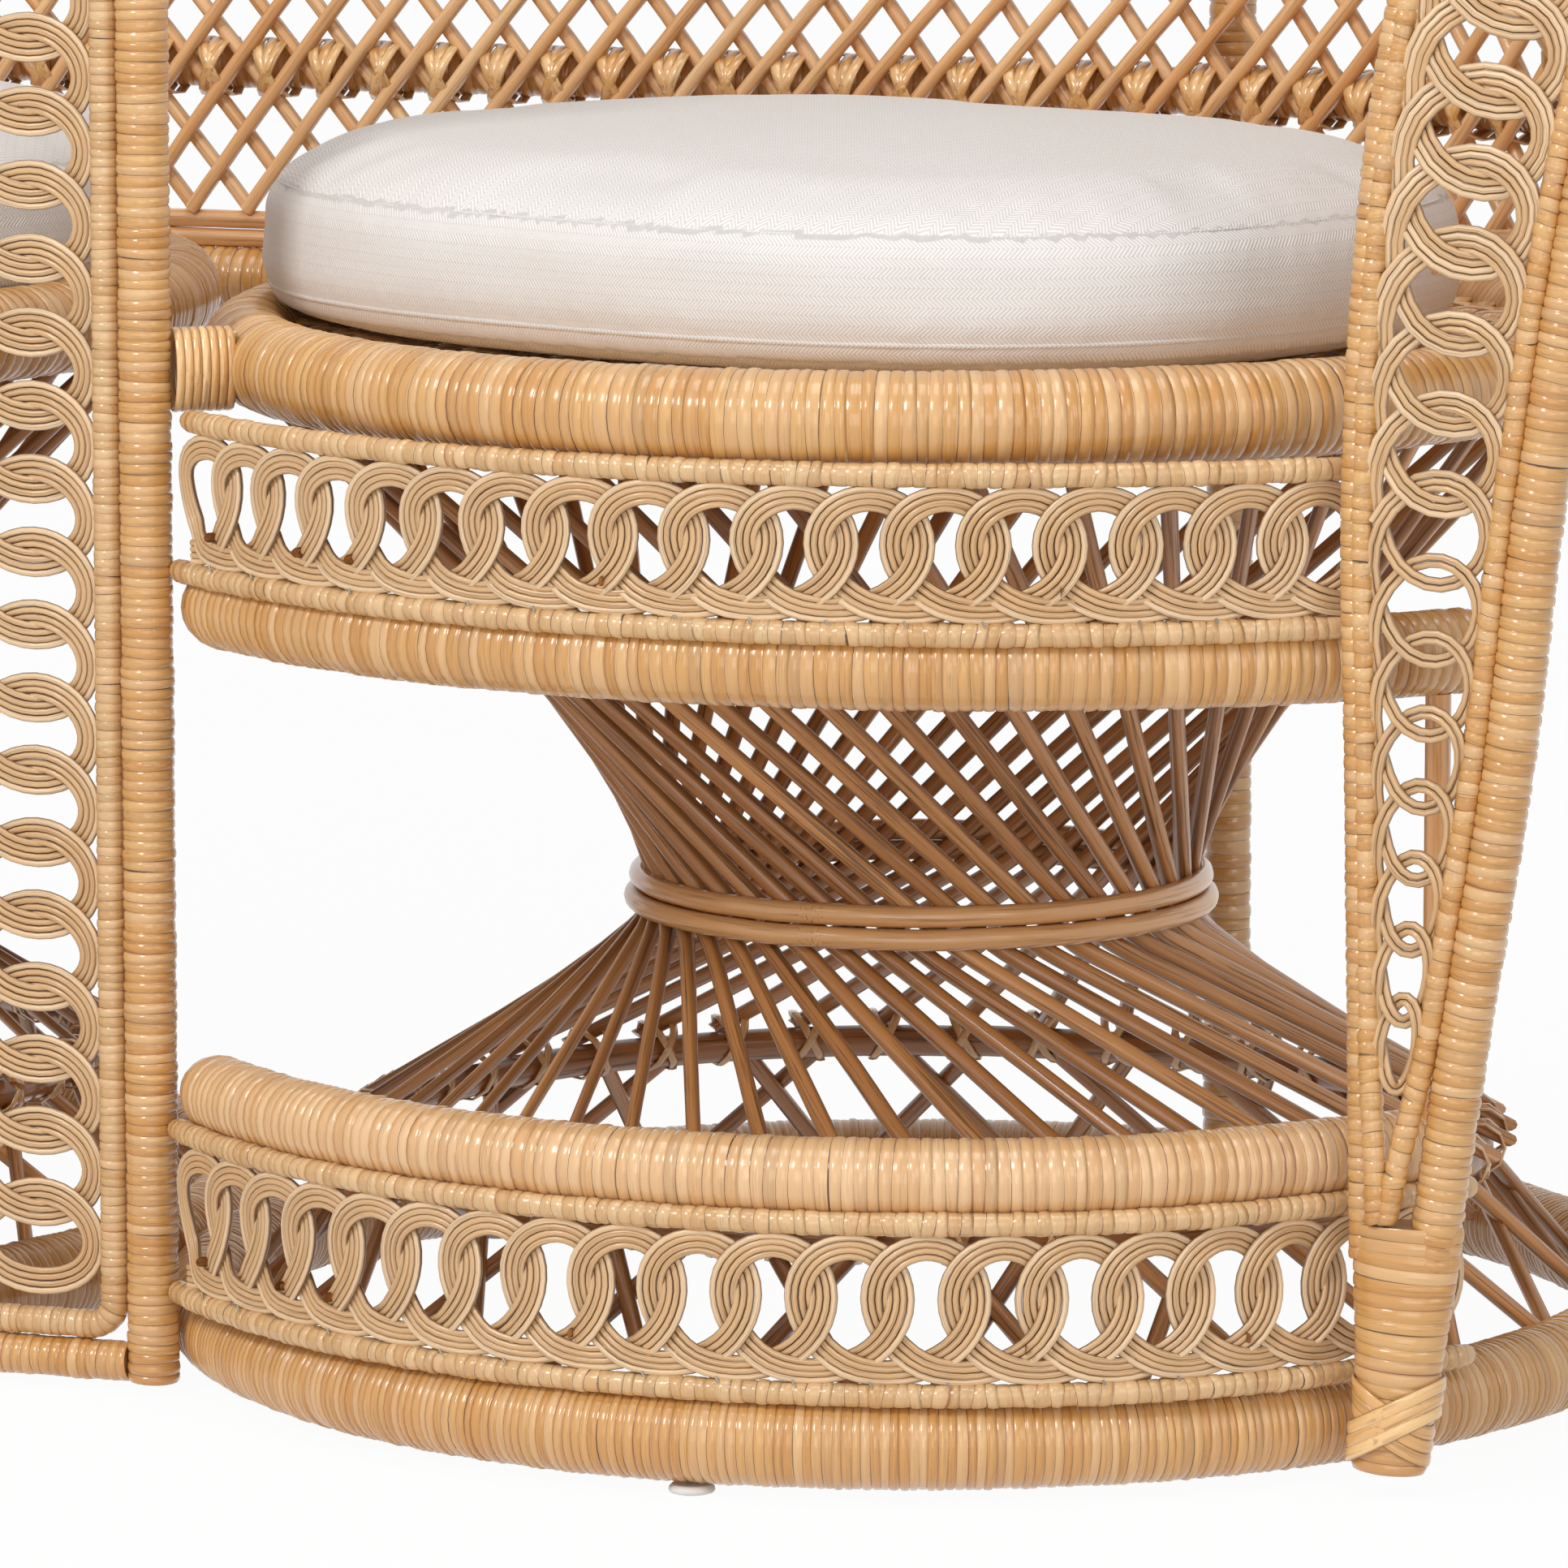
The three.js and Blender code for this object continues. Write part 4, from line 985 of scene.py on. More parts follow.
@dataclass
class LoopChain:
    """Running loops: one bundle of strands that curls back over itself.

    Args:
        pitch: Distance from loop to loop.
        swing: Reach of the curl to each side, as a share of the pitch.
        strand: Thickness of a strand.
        strands: Strands in the bundle.
        steps: Points for each loop.
        squeeze: Spacing of the strands where the bundle turns, as a share.
        layer: How far the bundle lies over or under itself, as a share of a strand.
        over: Angles of a loop, in degrees, where it lies over (1), under (-1) or between.
    """

    pitch: float = 26.0 * MM
    swing: float = 0.9
    strand: float = 2.5 * MM
    strands: int = 4
    steps: int = 36
    squeeze: float = 0.87
    layer: float = 0.56
    over: tuple[tuple[float, float], ...] = (
        (0.0, 0.0), (27.0, -1.0), (62.5, 1.0), (138.7, -1.0), (221.3, 1.0), (297.5, -1.0), (333.0, 1.0), (360.0, 0.0),
    )

    def depth(self, turn: np.ndarray) -> np.ndarray:
        """How far out of the band's surface the bundle lies, over and under in turn."""
        keys = np.radians([a for a, _ in self.over])
        values = np.array([v for _, v in self.over])
        phase = np.mod(turn, 2 * math.pi)
        i = np.clip(np.searchsorted(keys, phase, side="right") - 1, 0, len(keys) - 2)
        t = (phase - keys[i]) / (keys[i + 1] - keys[i])
        ease = t * t * (3 - 2 * t)
        return (values[i] + (values[i + 1] - values[i]) * ease) * self.strand * self.layer

    def line(self, length: float, half: Callable[[np.ndarray], np.ndarray],
             place: Callable[[np.ndarray, np.ndarray, np.ndarray], np.ndarray],
             facing: Callable[[np.ndarray], np.ndarray],
             pace: Callable[[np.ndarray], np.ndarray] | None = None) -> Line:
        """The bundle's middle line.

        Args:
            length: Length of the strip that the loops fill.
            half: Reach of the bundle's middle line to each side, at each distance along the strip.
            place: Turns distances along, across and out of the strip into points.
            facing: The strip's outward direction at each distance.
            pace: The pitch's share at each distance, where it isn't the same all along.

        Returns:
            The line, with the strands drawn together where it turns.
        """
        margin = self.pitch * 0.45
        fine = np.linspace(margin, length - margin, 2000)
        share = np.ones_like(fine) if pace is None else pace(fine)
        count = np.concatenate([[0.0], np.cumsum((fine[1] - fine[0]) / (self.pitch * (share[1:] + share[:-1]) / 2))])
        loops = max(2, round(float(count[-1])))
        count *= loops / count[-1]
        turn = np.linspace(0, 2 * math.pi * loops, loops * self.steps + 1)
        base = np.interp(turn / (2 * math.pi), count, fine)
        local = self.pitch * np.interp(base, fine, share)
        s = base + self.swing * local * np.sin(turn)
        ends = self.strand * self.strands / 2
        s = ends + smooth_floor(s - ends, self.pitch * 0.2)
        s = length - ends - smooth_floor(length - ends - s, self.pitch * 0.2)
        spread = self.squeeze + (1 - self.squeeze) * np.abs(np.sin(turn))
        points = place(s, -half(s) * np.cos(turn), self.depth(turn))
        return Line(points, facing(s), spread=spread)


@dataclass
class FrontArc:
    """A shallow arc in front of a seat, from the middle post to behind the wing.

    Args:
        axis: The seat's axis.
        radius: Radius of the arc.
        apex: How far in front of the axis its middle lies.
        inner: Sideways reach towards the middle panel.
        outer: Sideways reach towards the wing.
        inset: How much nearer to the axis the bar lies.
        tuck: How far it is drawn in behind the wing.
    """

    axis: SeatAxis
    radius: float
    apex: float
    inner: float
    outer: float
    inset: float = 0.0
    tuck: float = 0.0

    @property
    def span(self) -> tuple[float, float]:
        """Angles of the two ends."""
        reach = self.radius - self.inset
        return -math.asin(self.inner / reach), math.asin(self.outer / reach)

    @property
    def length(self) -> float:
        """Length along the arc."""
        low, high = self.span
        return (high - low) * self.radius

    def at(self, s: np.ndarray, z: Any, out: Any = 0.0) -> np.ndarray:
        """Points at distances along the arc, at a height and a distance out of it."""
        angle = self.span[0] + np.asarray(s) / self.radius
        high = self.span[1]
        drawn = self.tuck * smoothstep(angle, high / 2, high * 0.86)
        reach = self.radius - self.inset - drawn + out
        return self.axis.around(reach, angle, z, self.radius - self.apex)

    def facing(self, s: np.ndarray) -> np.ndarray:
        """Outward directions at distances along the arc."""
        angle = self.span[0] + np.asarray(s) / self.radius
        return xyz(np.sin(angle), -np.cos(angle), 0.0)

    def bar(self, z: float, steps: int = 48) -> Line:
        """The whole arc as a path at one height."""
        s = np.linspace(0, self.length, steps + 1)
        return Line(self.at(s, z), self.facing(s))


@dataclass
class FrontBand:
    """Rail, two rims and running loops in front of a seat or of the floor ring.

    Args:
        name: First word of the nodes' names.
        rims: The arc of the rims.
        top: Arc of the upper rim, if it is shorter.
        rail: The arc of the thick rail.
        high: Height of the upper rim.
        low: Height of the lower rim.
        rail_z: Height of the rail.
        rail_radius: Its radius.
        rim_radius: Radius of the rims.
        chain: The loops between the rims.
        peg_chance: How often a loop has a cut peg.
        staple_chance: How often it has a staple.
    """

    name: str
    rims: FrontArc
    top: FrontArc
    rail: FrontArc
    high: float
    low: float
    rail_z: float
    rail_radius: float
    rim_radius: float = 4.3 * MM
    chain: LoopChain = field(default_factory=LoopChain)
    peg_chance: float = 0.3
    staple_chance: float = 0.6

    @property
    def node(self) -> str:
        """What the names of the band's nodes start with."""
        return "seat_band" if self.name == "seat" else "apron"

    def build(self, shop: Workshop, side: Side) -> None:
        """Makes the band's pieces for one half."""
        tail = side.tail
        rail = rounded_ends(sided(self.rail.bar(self.rail_z), side), self.rail_radius * 0.8)
        shop.wound(f"{self.name}_rail{tail}", rail, self.rail_radius, 4.2 * MM, [f"{self.node}_rail{tail}"], sides=20,
                   finish=shop.finish.wrap if self.name == "seat" else shop.finish.pale)
        for level, arc, z in (("top", self.top, self.high), ("bottom", self.rims, self.low)):
            bar = rounded_ends(sided(arc.bar(z), side), self.rim_radius)
            shop.wound(f"{self.name}_rim_{level}{tail}", bar, self.rim_radius, 4.3 * MM,
                       [f"{self.node}_rim_{level}{tail}"], sides=12, ridge=0.0004, vary=1.6, finish=shop.finish.rim)
        self.loops(shop, side)

    def loops(self, shop: Workshop, side: Side) -> None:
        """Makes the bundle of loops, its cut pegs and its staples."""
        tail = side.tail
        middle = (self.high + self.low) / 2
        half = (self.high - self.low) / 2 - self.rim_radius * 0.8
        reach = half - self.chain.strand * self.chain.strands * self.chain.squeeze / 2
        line = self.chain.line(self.rims.length, lambda s: np.full_like(s, reach),
                               lambda s, across, out: self.rims.at(s, middle + across, out), self.rims.facing)
        shop.strands(f"{self.name}_loops{tail}", [sided(line, side)], self.chain.strand, [f"{self.node}_loops{tail}"],
                     Slot.CORE, shop.finish.core, strands=self.chain.strands, spacing=self.chain.strand * 0.98,
                     wander=0.0006)
        pegs, staples = self.fastenings(middle, half)
        shop.strands(f"{self.name}_pegs{tail}", [sided(p, side) for p in pegs], 3.4 * MM, [], Slot.CORE,
                     shop.finish.rod)
        shop.strands(f"{self.name}_staples{tail}", [sided(p, side) for p in staples], 1.0 * MM, [], Slot.CORE,
                     shop.finish.steel, sides=6)

    def fastenings(self, middle: float, half: float) -> tuple[list[Line], list[Line]]:
        """Places the cut pegs and the staples of the loops.

        Args:
            middle: Height of the band's middle.
            half: Half of its height.

        Returns:
            Paths of the pegs and of the staples.
        """
        draw = np.random.default_rng(11)
        pegs: list[Line] = []
        staples: list[Line] = []
        count = int(self.rims.length / self.chain.pitch)
        for i in range(1, count - 1):
            s = np.array([(i + 0.2) * self.chain.pitch])
            if draw.random() < self.peg_chance:
                ends = np.concatenate([self.rims.at(s, middle - half * 0.5, o) for o in (1 * MM, 4.2 * MM)])
                pegs.append(Line(ends, np.repeat(self.rims.facing(s), 2, axis=0)))
            if draw.random() < self.staple_chance:
                low = middle - half * 0.93
                ends = np.concatenate([self.rims.at(s + d, low - 2 * d, 3.6 * MM) for d in (0.0, 0.8 * MM)])
                staples.append(Line(ends, np.repeat(self.rims.facing(s), 2, axis=0)))
        return pegs, staples


@dataclass
class Seat:
    """Seat hoop with its deck, its band, the drum under it, the skirt and the floor ring.

    Args:
        axis: Where the seat stands.
    """

    axis: SeatAxis = field(default_factory=SeatAxis)
    # Seat hoop
    hoop_radius: float = 239 * MM
    hoop_tube: float = 16.9 * MM
    hoop_z: float = 364 * MM
    hoop_shift: float = -3.6 * MM
    # Floor ring, which reaches a little further out in front
    floor_tube: float = 16 * MM
    floor_radius: float = 257.4 * MM
    floor_front: float = 264.5 * MM
    floor_z: float = 19.4 * MM
    # Drum
    rods: int = 42
    rod_radius: float = 3.3 * MM
    rod_top: float = 235 * MM
    waist_z: float = 161 * MM
    waist_radius: float = 95 * MM
    waist_hoops: tuple[tuple[float, float], ...] = ((101.6 * MM, 172.8 * MM), (103.4 * MM, 164.9 * MM))
    waist_width: float = 7.8 * MM
    twist_above: float = math.radians(63)
    twist_below: float = math.radians(40)
    # Tie hoop and skirt
    tie_radius: float = 201 * MM
    tie_z: float = 76 * MM
    tie_tube: float = 6 * MM
    skirt_pairs: int = 21
    skirt_twist: float = math.radians(11)
    skirt_layer: float = 3.6 * MM
    skirt_width: float = 6.6 * MM
    # Bare rod behind the wing, deck, and wraps on the middle post
    wing_rod: float = 8.8 * MM
    deck_step: float = 13 * MM
    deck_strip: float = 10.5 * MM
    deck_wave: float = 0.7 * MM
    post_turns: int = 7
    post_pitch: float = 3.1 * MM
    post_reach: tuple[float, float] = (7.5 * MM, 14.5 * MM)

    def build(self, shop: Workshop, side: Side) -> None:
        """Makes everything of one seat but its cushion."""
        tail = side.tail
        hoop = self.axis.path(self.axis.around(self.hoop_radius, turns(180), self.hoop_z, self.hoop_shift), True)
        shop.wound("seat_hoop" + tail, sided(hoop, side), self.hoop_tube, 4.35 * MM, ["seat_ring" + tail], sides=24)
        floor = self.axis.path(self.floor_point(turns(180)), True)
        shop.wound("floor_ring" + tail, sided(floor, side), self.floor_tube, 3.1 * MM, ["foot_ring" + tail], sides=24)
        self.drum(shop, side)
        self.skirt(shop, side)
        self.small_parts(shop, side)
        for band in self.bands():
            band.build(shop, side)

    def floor_point(self, angle: np.ndarray, z: float | None = None, out: float = 0.0) -> np.ndarray:
        """Points of the floor ring's middle line."""
        forward = np.maximum(np.cos(angle), 0) ** 2
        radius = self.floor_radius + (self.floor_front - self.floor_radius) * forward + out
        return self.axis.around(radius, angle, self.floor_z if z is None else z)

    def bands(self) -> list[FrontBand]:
        """The band under the seat hoop and the apron over the floor ring."""
        a = self.axis
        seat = FrontBand(
            "seat", FrontArc(a, 320 * MM, 256.5 * MM, 216.4 * MM, 222 * MM),
            FrontArc(a, 320 * MM, 256.5 * MM, 209 * MM, 222 * MM),
            FrontArc(a, 320 * MM, 256.5 * MM, 209 * MM, 244 * MM, inset=13.1 * MM),
            347.4 * MM, 293.8 * MM, 281.0 * MM, 14.8 * MM,
        )
        arc = FrontArc(a, 294 * MM, 273 * MM, 216.6 * MM, 250 * MM, tuck=7 * MM)
        apron = FrontBand(
            "apron", arc, arc, FrontArc(a, 294 * MM, 273 * MM, 207 * MM, 237 * MM, inset=11.9 * MM, tuck=7 * MM),
            96.3 * MM, 37.7 * MM, 109.6 * MM, 14.0 * MM,
        )
        return [seat, apron]

    def rod(self, angle: float) -> Line:
        """One rod from under the seat hoop, round the waist, to just past the tie hoop."""
        top = self.axis.around(self.rod_top, angle - self.twist_above, self.hoop_z - self.hoop_tube * 0.8,
                               self.hoop_shift)
        waist = self.axis.around(self.waist_radius, angle, self.waist_z)
        foot = self.axis.around(self.tie_radius + self.tie_tube, angle + self.twist_below,
                                self.tie_z + self.tie_tube + self.rod_radius * 0.6)
        past = foot + unit(foot - waist) * 7 * MM
        turn = [(1 - t) ** 2 * (waist + (top - waist) * 0.06) + 2 * t * (1 - t) * waist
                + t * t * (waist + (past - waist) * 0.09) for t in np.linspace(0, 1, 7)]
        return self.axis.path(np.concatenate([straight(top, turn[0], 5)[:-1], turn, straight(turn[-1], past, 5)[1:]]))

    def drum(self, shop: Workshop, side: Side) -> None:
        """Makes the twisted rods, the hoops round the waist and the ties at their feet."""
        tail = side.tail
        rods = [sided(self.rod(a), side) for a in turns(self.rods)]
        shop.strands("drum_rods" + tail, rods, 2 * self.rod_radius, ["hourglass" + tail], Slot.ROD, shop.finish.rod,
                     sides=10, wander=0.0012)
        hoops = [sided(self.axis.path(self.axis.around(radius, turns(72), z), True), side)
                 for radius, z in self.waist_hoops]
        shop.strands("waist_hoops" + tail, hoops, self.waist_width, ["waist_hoop" + tail], Slot.ROD,
                     shop.finish.lattice, sides=12, wander=0.001)
        ties = [sided(tie, side) for a in turns(self.rods) for tie in self.foot_tie(a + self.twist_below)]
        shop.strands("drum_ties" + tail, ties, 3.6 * MM, [], Slot.CORE, shop.finish.strip, thick=1.0 * MM, sides=6)

    def foot_tie(self, angle: float) -> list[Line]:
        """Two turns of strip that bind a rod to the tie hoop, crossing each other."""
        centre = self.axis.around(self.tie_radius + 1.5 * MM, angle, self.tie_z + 2.4 * MM)
        out = self.axis.outward(centre)
        reach = self.tie_tube + 3.6 * MM
        return [strip_turn(centre, out * reach, UP * reach, np.cross(UP, out) * lean * reach, 10)
                for lean in (-0.55, 0.55)]

    def skirt(self, shop: Workshop, side: Side) -> None:
        """Makes the tie hoop and the crossing rods under it."""
        tail = side.tail
        ring = self.axis.path(self.axis.around(self.tie_radius, turns(90), self.tie_z), True)
        shop.strands("tie_hoop" + tail, [sided(ring, side)], 2 * self.tie_tube, [], Slot.ROD, shop.finish.rod,
                     sides=12, wander=0.001)
        rods = []
        for i in range(self.skirt_pairs):
            for lean in (-1, 1):
                angle = (i + lean / 4) / self.skirt_pairs * 2 * math.pi
                layer = lean * self.skirt_layer
                top = self.axis.around(self.tie_radius + layer / 2, angle, self.tie_z - self.tie_tube * 0.4)
                reach = self.floor_tube - 0.2 * MM - layer
                foot = self.floor_point(np.asarray(angle + lean * self.skirt_twist), self.floor_z + reach / 4, -reach)
                rods.append(sided(self.axis.path(straight(top, foot, 4)), side))
        shop.strands("skirt_rods" + tail, rods, self.skirt_width, ["skirt" + tail], Slot.ROD, shop.finish.rod,
                     sides=8)

    def small_parts(self, shop: Workshop, side: Side) -> None:
        """Makes the glides, the bare rod behind the wing, the deck and the tie to the middle post."""
        tail = side.tail
        for letter in "abc":
            low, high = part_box(f"glide_{letter}{tail}")
            shop.keep(glide(f"glide_button_{letter}{tail}", low, high, shop.finish.plastic), Slot.PLASTIC,
                      [f"glide_{letter}{tail}"])
        low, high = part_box("side_rod" + tail)
        middle = (low + high) / 2
        points = straight((middle.x, middle.y, low.z - 1 * MM), (middle.x, middle.y, high.z + 1 * MM))
        shop.strands("wing_rod" + tail, [aimed(points, FRONT)], self.wing_rod, ["side_rod" + tail], Slot.ROD,
                     shop.finish.lattice, sides=10)
        self.deck(shop, side)
        self.post_tie(shop, side)

    def deck(self, shop: Workshop, side: Side) -> None:
        """Makes the woven deck: strips over and under each other inside the hoop."""
        tail = side.tail
        low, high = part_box("seat_deck" + tail)
        centre = (low + high) / 2
        reach = (high.x - low.x) / 2
        step = self.deck_step
        lines = []
        count = int(reach / step)
        for across in range(-count, count + 1):
            offset = across * step
            half = math.sqrt(max(reach ** 2 - offset ** 2, 0.0))
            s = np.arange(-half, half, step / 2)
            wave = np.cos((s / step + across) * math.pi) * self.deck_wave
            for turned in (False, True):
                first = s if turned else np.full_like(s, offset)
                second = np.full_like(s, offset) if turned else s
                lift = -wave if turned else wave
                points = xyz(centre.x + first, centre.y + second, centre.z + lift)
                if len(points) > 2:
                    lines.append(aimed(points, UP))
        shop.strands("deck_weave" + tail, lines, self.deck_strip, ["seat_deck" + tail], Slot.CORE,
                     shop.finish.strip, thick=1.1 * MM, sides=6)

    def post_tie(self, shop: Workshop, side: Side) -> None:
        """Makes the wraps that bind the seat hoop to the middle post."""
        tail = side.tail
        low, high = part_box("post_tie" + tail)
        centre = np.array((low + high) / 2)
        hoop = np.array([side.value * self.axis.x, self.axis.y + self.hoop_shift, centre[2]])
        out = unit(centre - hoop)
        wide, tall = self.post_reach
        places = (np.arange(self.post_turns) - (self.post_turns - 1) / 2) * self.post_pitch
        lines = [strip_turn(centre + out * place, np.cross(UP, out) * wide, UP * tall, np.zeros(3), 16)
                 for place in places]
        shop.strands("hoop_tie" + tail, lines, 3.4 * MM, ["post_tie" + tail], Slot.WRAP, shop.finish.strip,
                     thick=1.2 * MM, sides=6)


def glide(name: str, low: Vector, high: Vector, finish: bpy.types.Material) -> bpy.types.Object:
    """A plastic glide with a rounded rim.

    Args:
        name: Name of the piece.
        low: Lowest corner of its node.
        high: Highest corner.
        finish: Its material.

    Returns:
        The piece.
    """
    radius = (high.x - low.x) / 2
    centre = (low + high) / 2
    angles = turns(32)
    level = xyz(np.cos(angles), np.sin(angles), 0.0) * radius
    middle = np.array((centre.x, centre.y, low.z))
    profile = ((0.82, 0.0), (0.95, 0.12), (1.0, 0.35), (0.97, 0.7), (0.85, 1.0))
    mesh = stacked_rings(name, [middle + level * share + UP * lift * (high.z - low.z) for share, lift in profile])
    for face in mesh.polygons:
        face.use_smooth = len(face.vertices) == 4
    mesh.materials.append(finish)
    return linked(name, mesh)


# The border, the shell and the fan


def catmull(stations: np.ndarray, steps: int) -> np.ndarray:
    """A smooth centripetal curve through stations.

    Args:
        stations: Rows of x, y, z and any further values.
        steps: Points between two stations.

    Returns:
        Rows of the same kind along the curve.
    """
    padded = np.vstack([2 * stations[0] - stations[1], stations, 2 * stations[-1] - stations[-2]])
    rows = []
    for p0, p1, p2, p3 in zip(padded, padded[1:], padded[2:], padded[3:]):
        d0, d1, d2 = (max(np.linalg.norm((b - a)[:3]) ** 0.5, 1e-6) for a, b in ((p0, p1), (p1, p2), (p2, p3)))
        m1 = ((p1 - p0) / d0 - (p2 - p0) / (d0 + d1) + (p2 - p1) / d1) * d1
        m2 = ((p2 - p1) / d1 - (p3 - p1) / (d1 + d2) + (p3 - p2) / d2) * d1
        t = np.linspace(0, 1, steps, endpoint=False)[:, None]
        rows.append((2 * t**3 - 3 * t**2 + 1) * p1 + (t**3 - 2 * t**2 + t) * m1
                    + (3 * t**2 - 2 * t**3) * p2 + (t**3 - t**2) * m2)
    return np.vstack([*rows, stations[-1:]])


class BorderPath:
    """The fan's border: its middle line from the right floor over the top to the left, and its half width."""

    STATIONS = np.array([
        (509.5, -187, 92, 12.6), (513.2, -187, 155, 17.4), (519.8, -187, 255, 26), (524, -187, 345, 31.8),
        (537.5, -184, 470, 37.2), (564, -161, 610, 40.4), (591, -108, 770, 43), (600, -22, 930, 44),
        (576, 88, 1085, 44), (502, 192, 1215, 44), (372, 270, 1305, 44), (196, 314, 1354, 44), (0, 328, 1370, 44),
    ]) * MM

    def __init__(self, shift: float) -> None:
        """Samples the curve.

        Args:
            shift: How far back the frame's seat axis lies from the stations' own zero.
        """
        right = self.STATIONS.copy()
        right[:, 1] += shift
        left = right[-2::-1] * np.array([-1, 1, 1, 1])
        self.rows = catmull(np.vstack([right, left]), 48)
        steps = np.linalg.norm(np.diff(self.rows[:, :3], axis=0), axis=1)
        self.along = np.concatenate([[0.0], np.cumsum(steps)])
        self.length = float(self.along[-1])
        tangents = unit(np.gradient(self.rows[:, :3], axis=0))
        tip = self.tip(self.rows[:, 2])
        face = xyz(0.0, -np.cos(tip), np.sin(tip))
        self.out = unit(np.cross(tangents, face))
        self.face = unit(np.cross(self.out, tangents))

    def tip(self, z: np.ndarray) -> np.ndarray:
        """How far the border's face is tipped up at a height."""
        s = self.STATIONS[:, 2]
        slope = smoothstep(z, s[3], s[7]) * 0.62
        ease = smoothstep(z, s[9], s[12])
        return slope + (0.3 - slope) * ease

    def at(self, s: Any, across: Any = 0.0, out: Any = 0.0) -> np.ndarray:
        """Points at a distance along, at an offset away from the fan and at a height over the face."""
        s = np.asarray(s, float)
        base = np.stack([np.interp(s, self.along, self.rows[:, k]) for k in range(3)], axis=-1)
        away = np.stack([np.interp(s, self.along, self.out[:, k]) for k in range(3)], axis=-1)
        return base + away * np.asarray(across)[..., None] + self.facing(s) * np.asarray(out)[..., None]

    def facing(self, s: Any) -> np.ndarray:
        """Which way the border faces at distances along."""
        return np.stack([np.interp(s, self.along, self.face[:, k]) for k in range(3)], axis=-1)

    def half(self, s: Any) -> np.ndarray:
        """Half of the distance between the poles."""
        return np.interp(s, self.along, self.rows[:, 3])


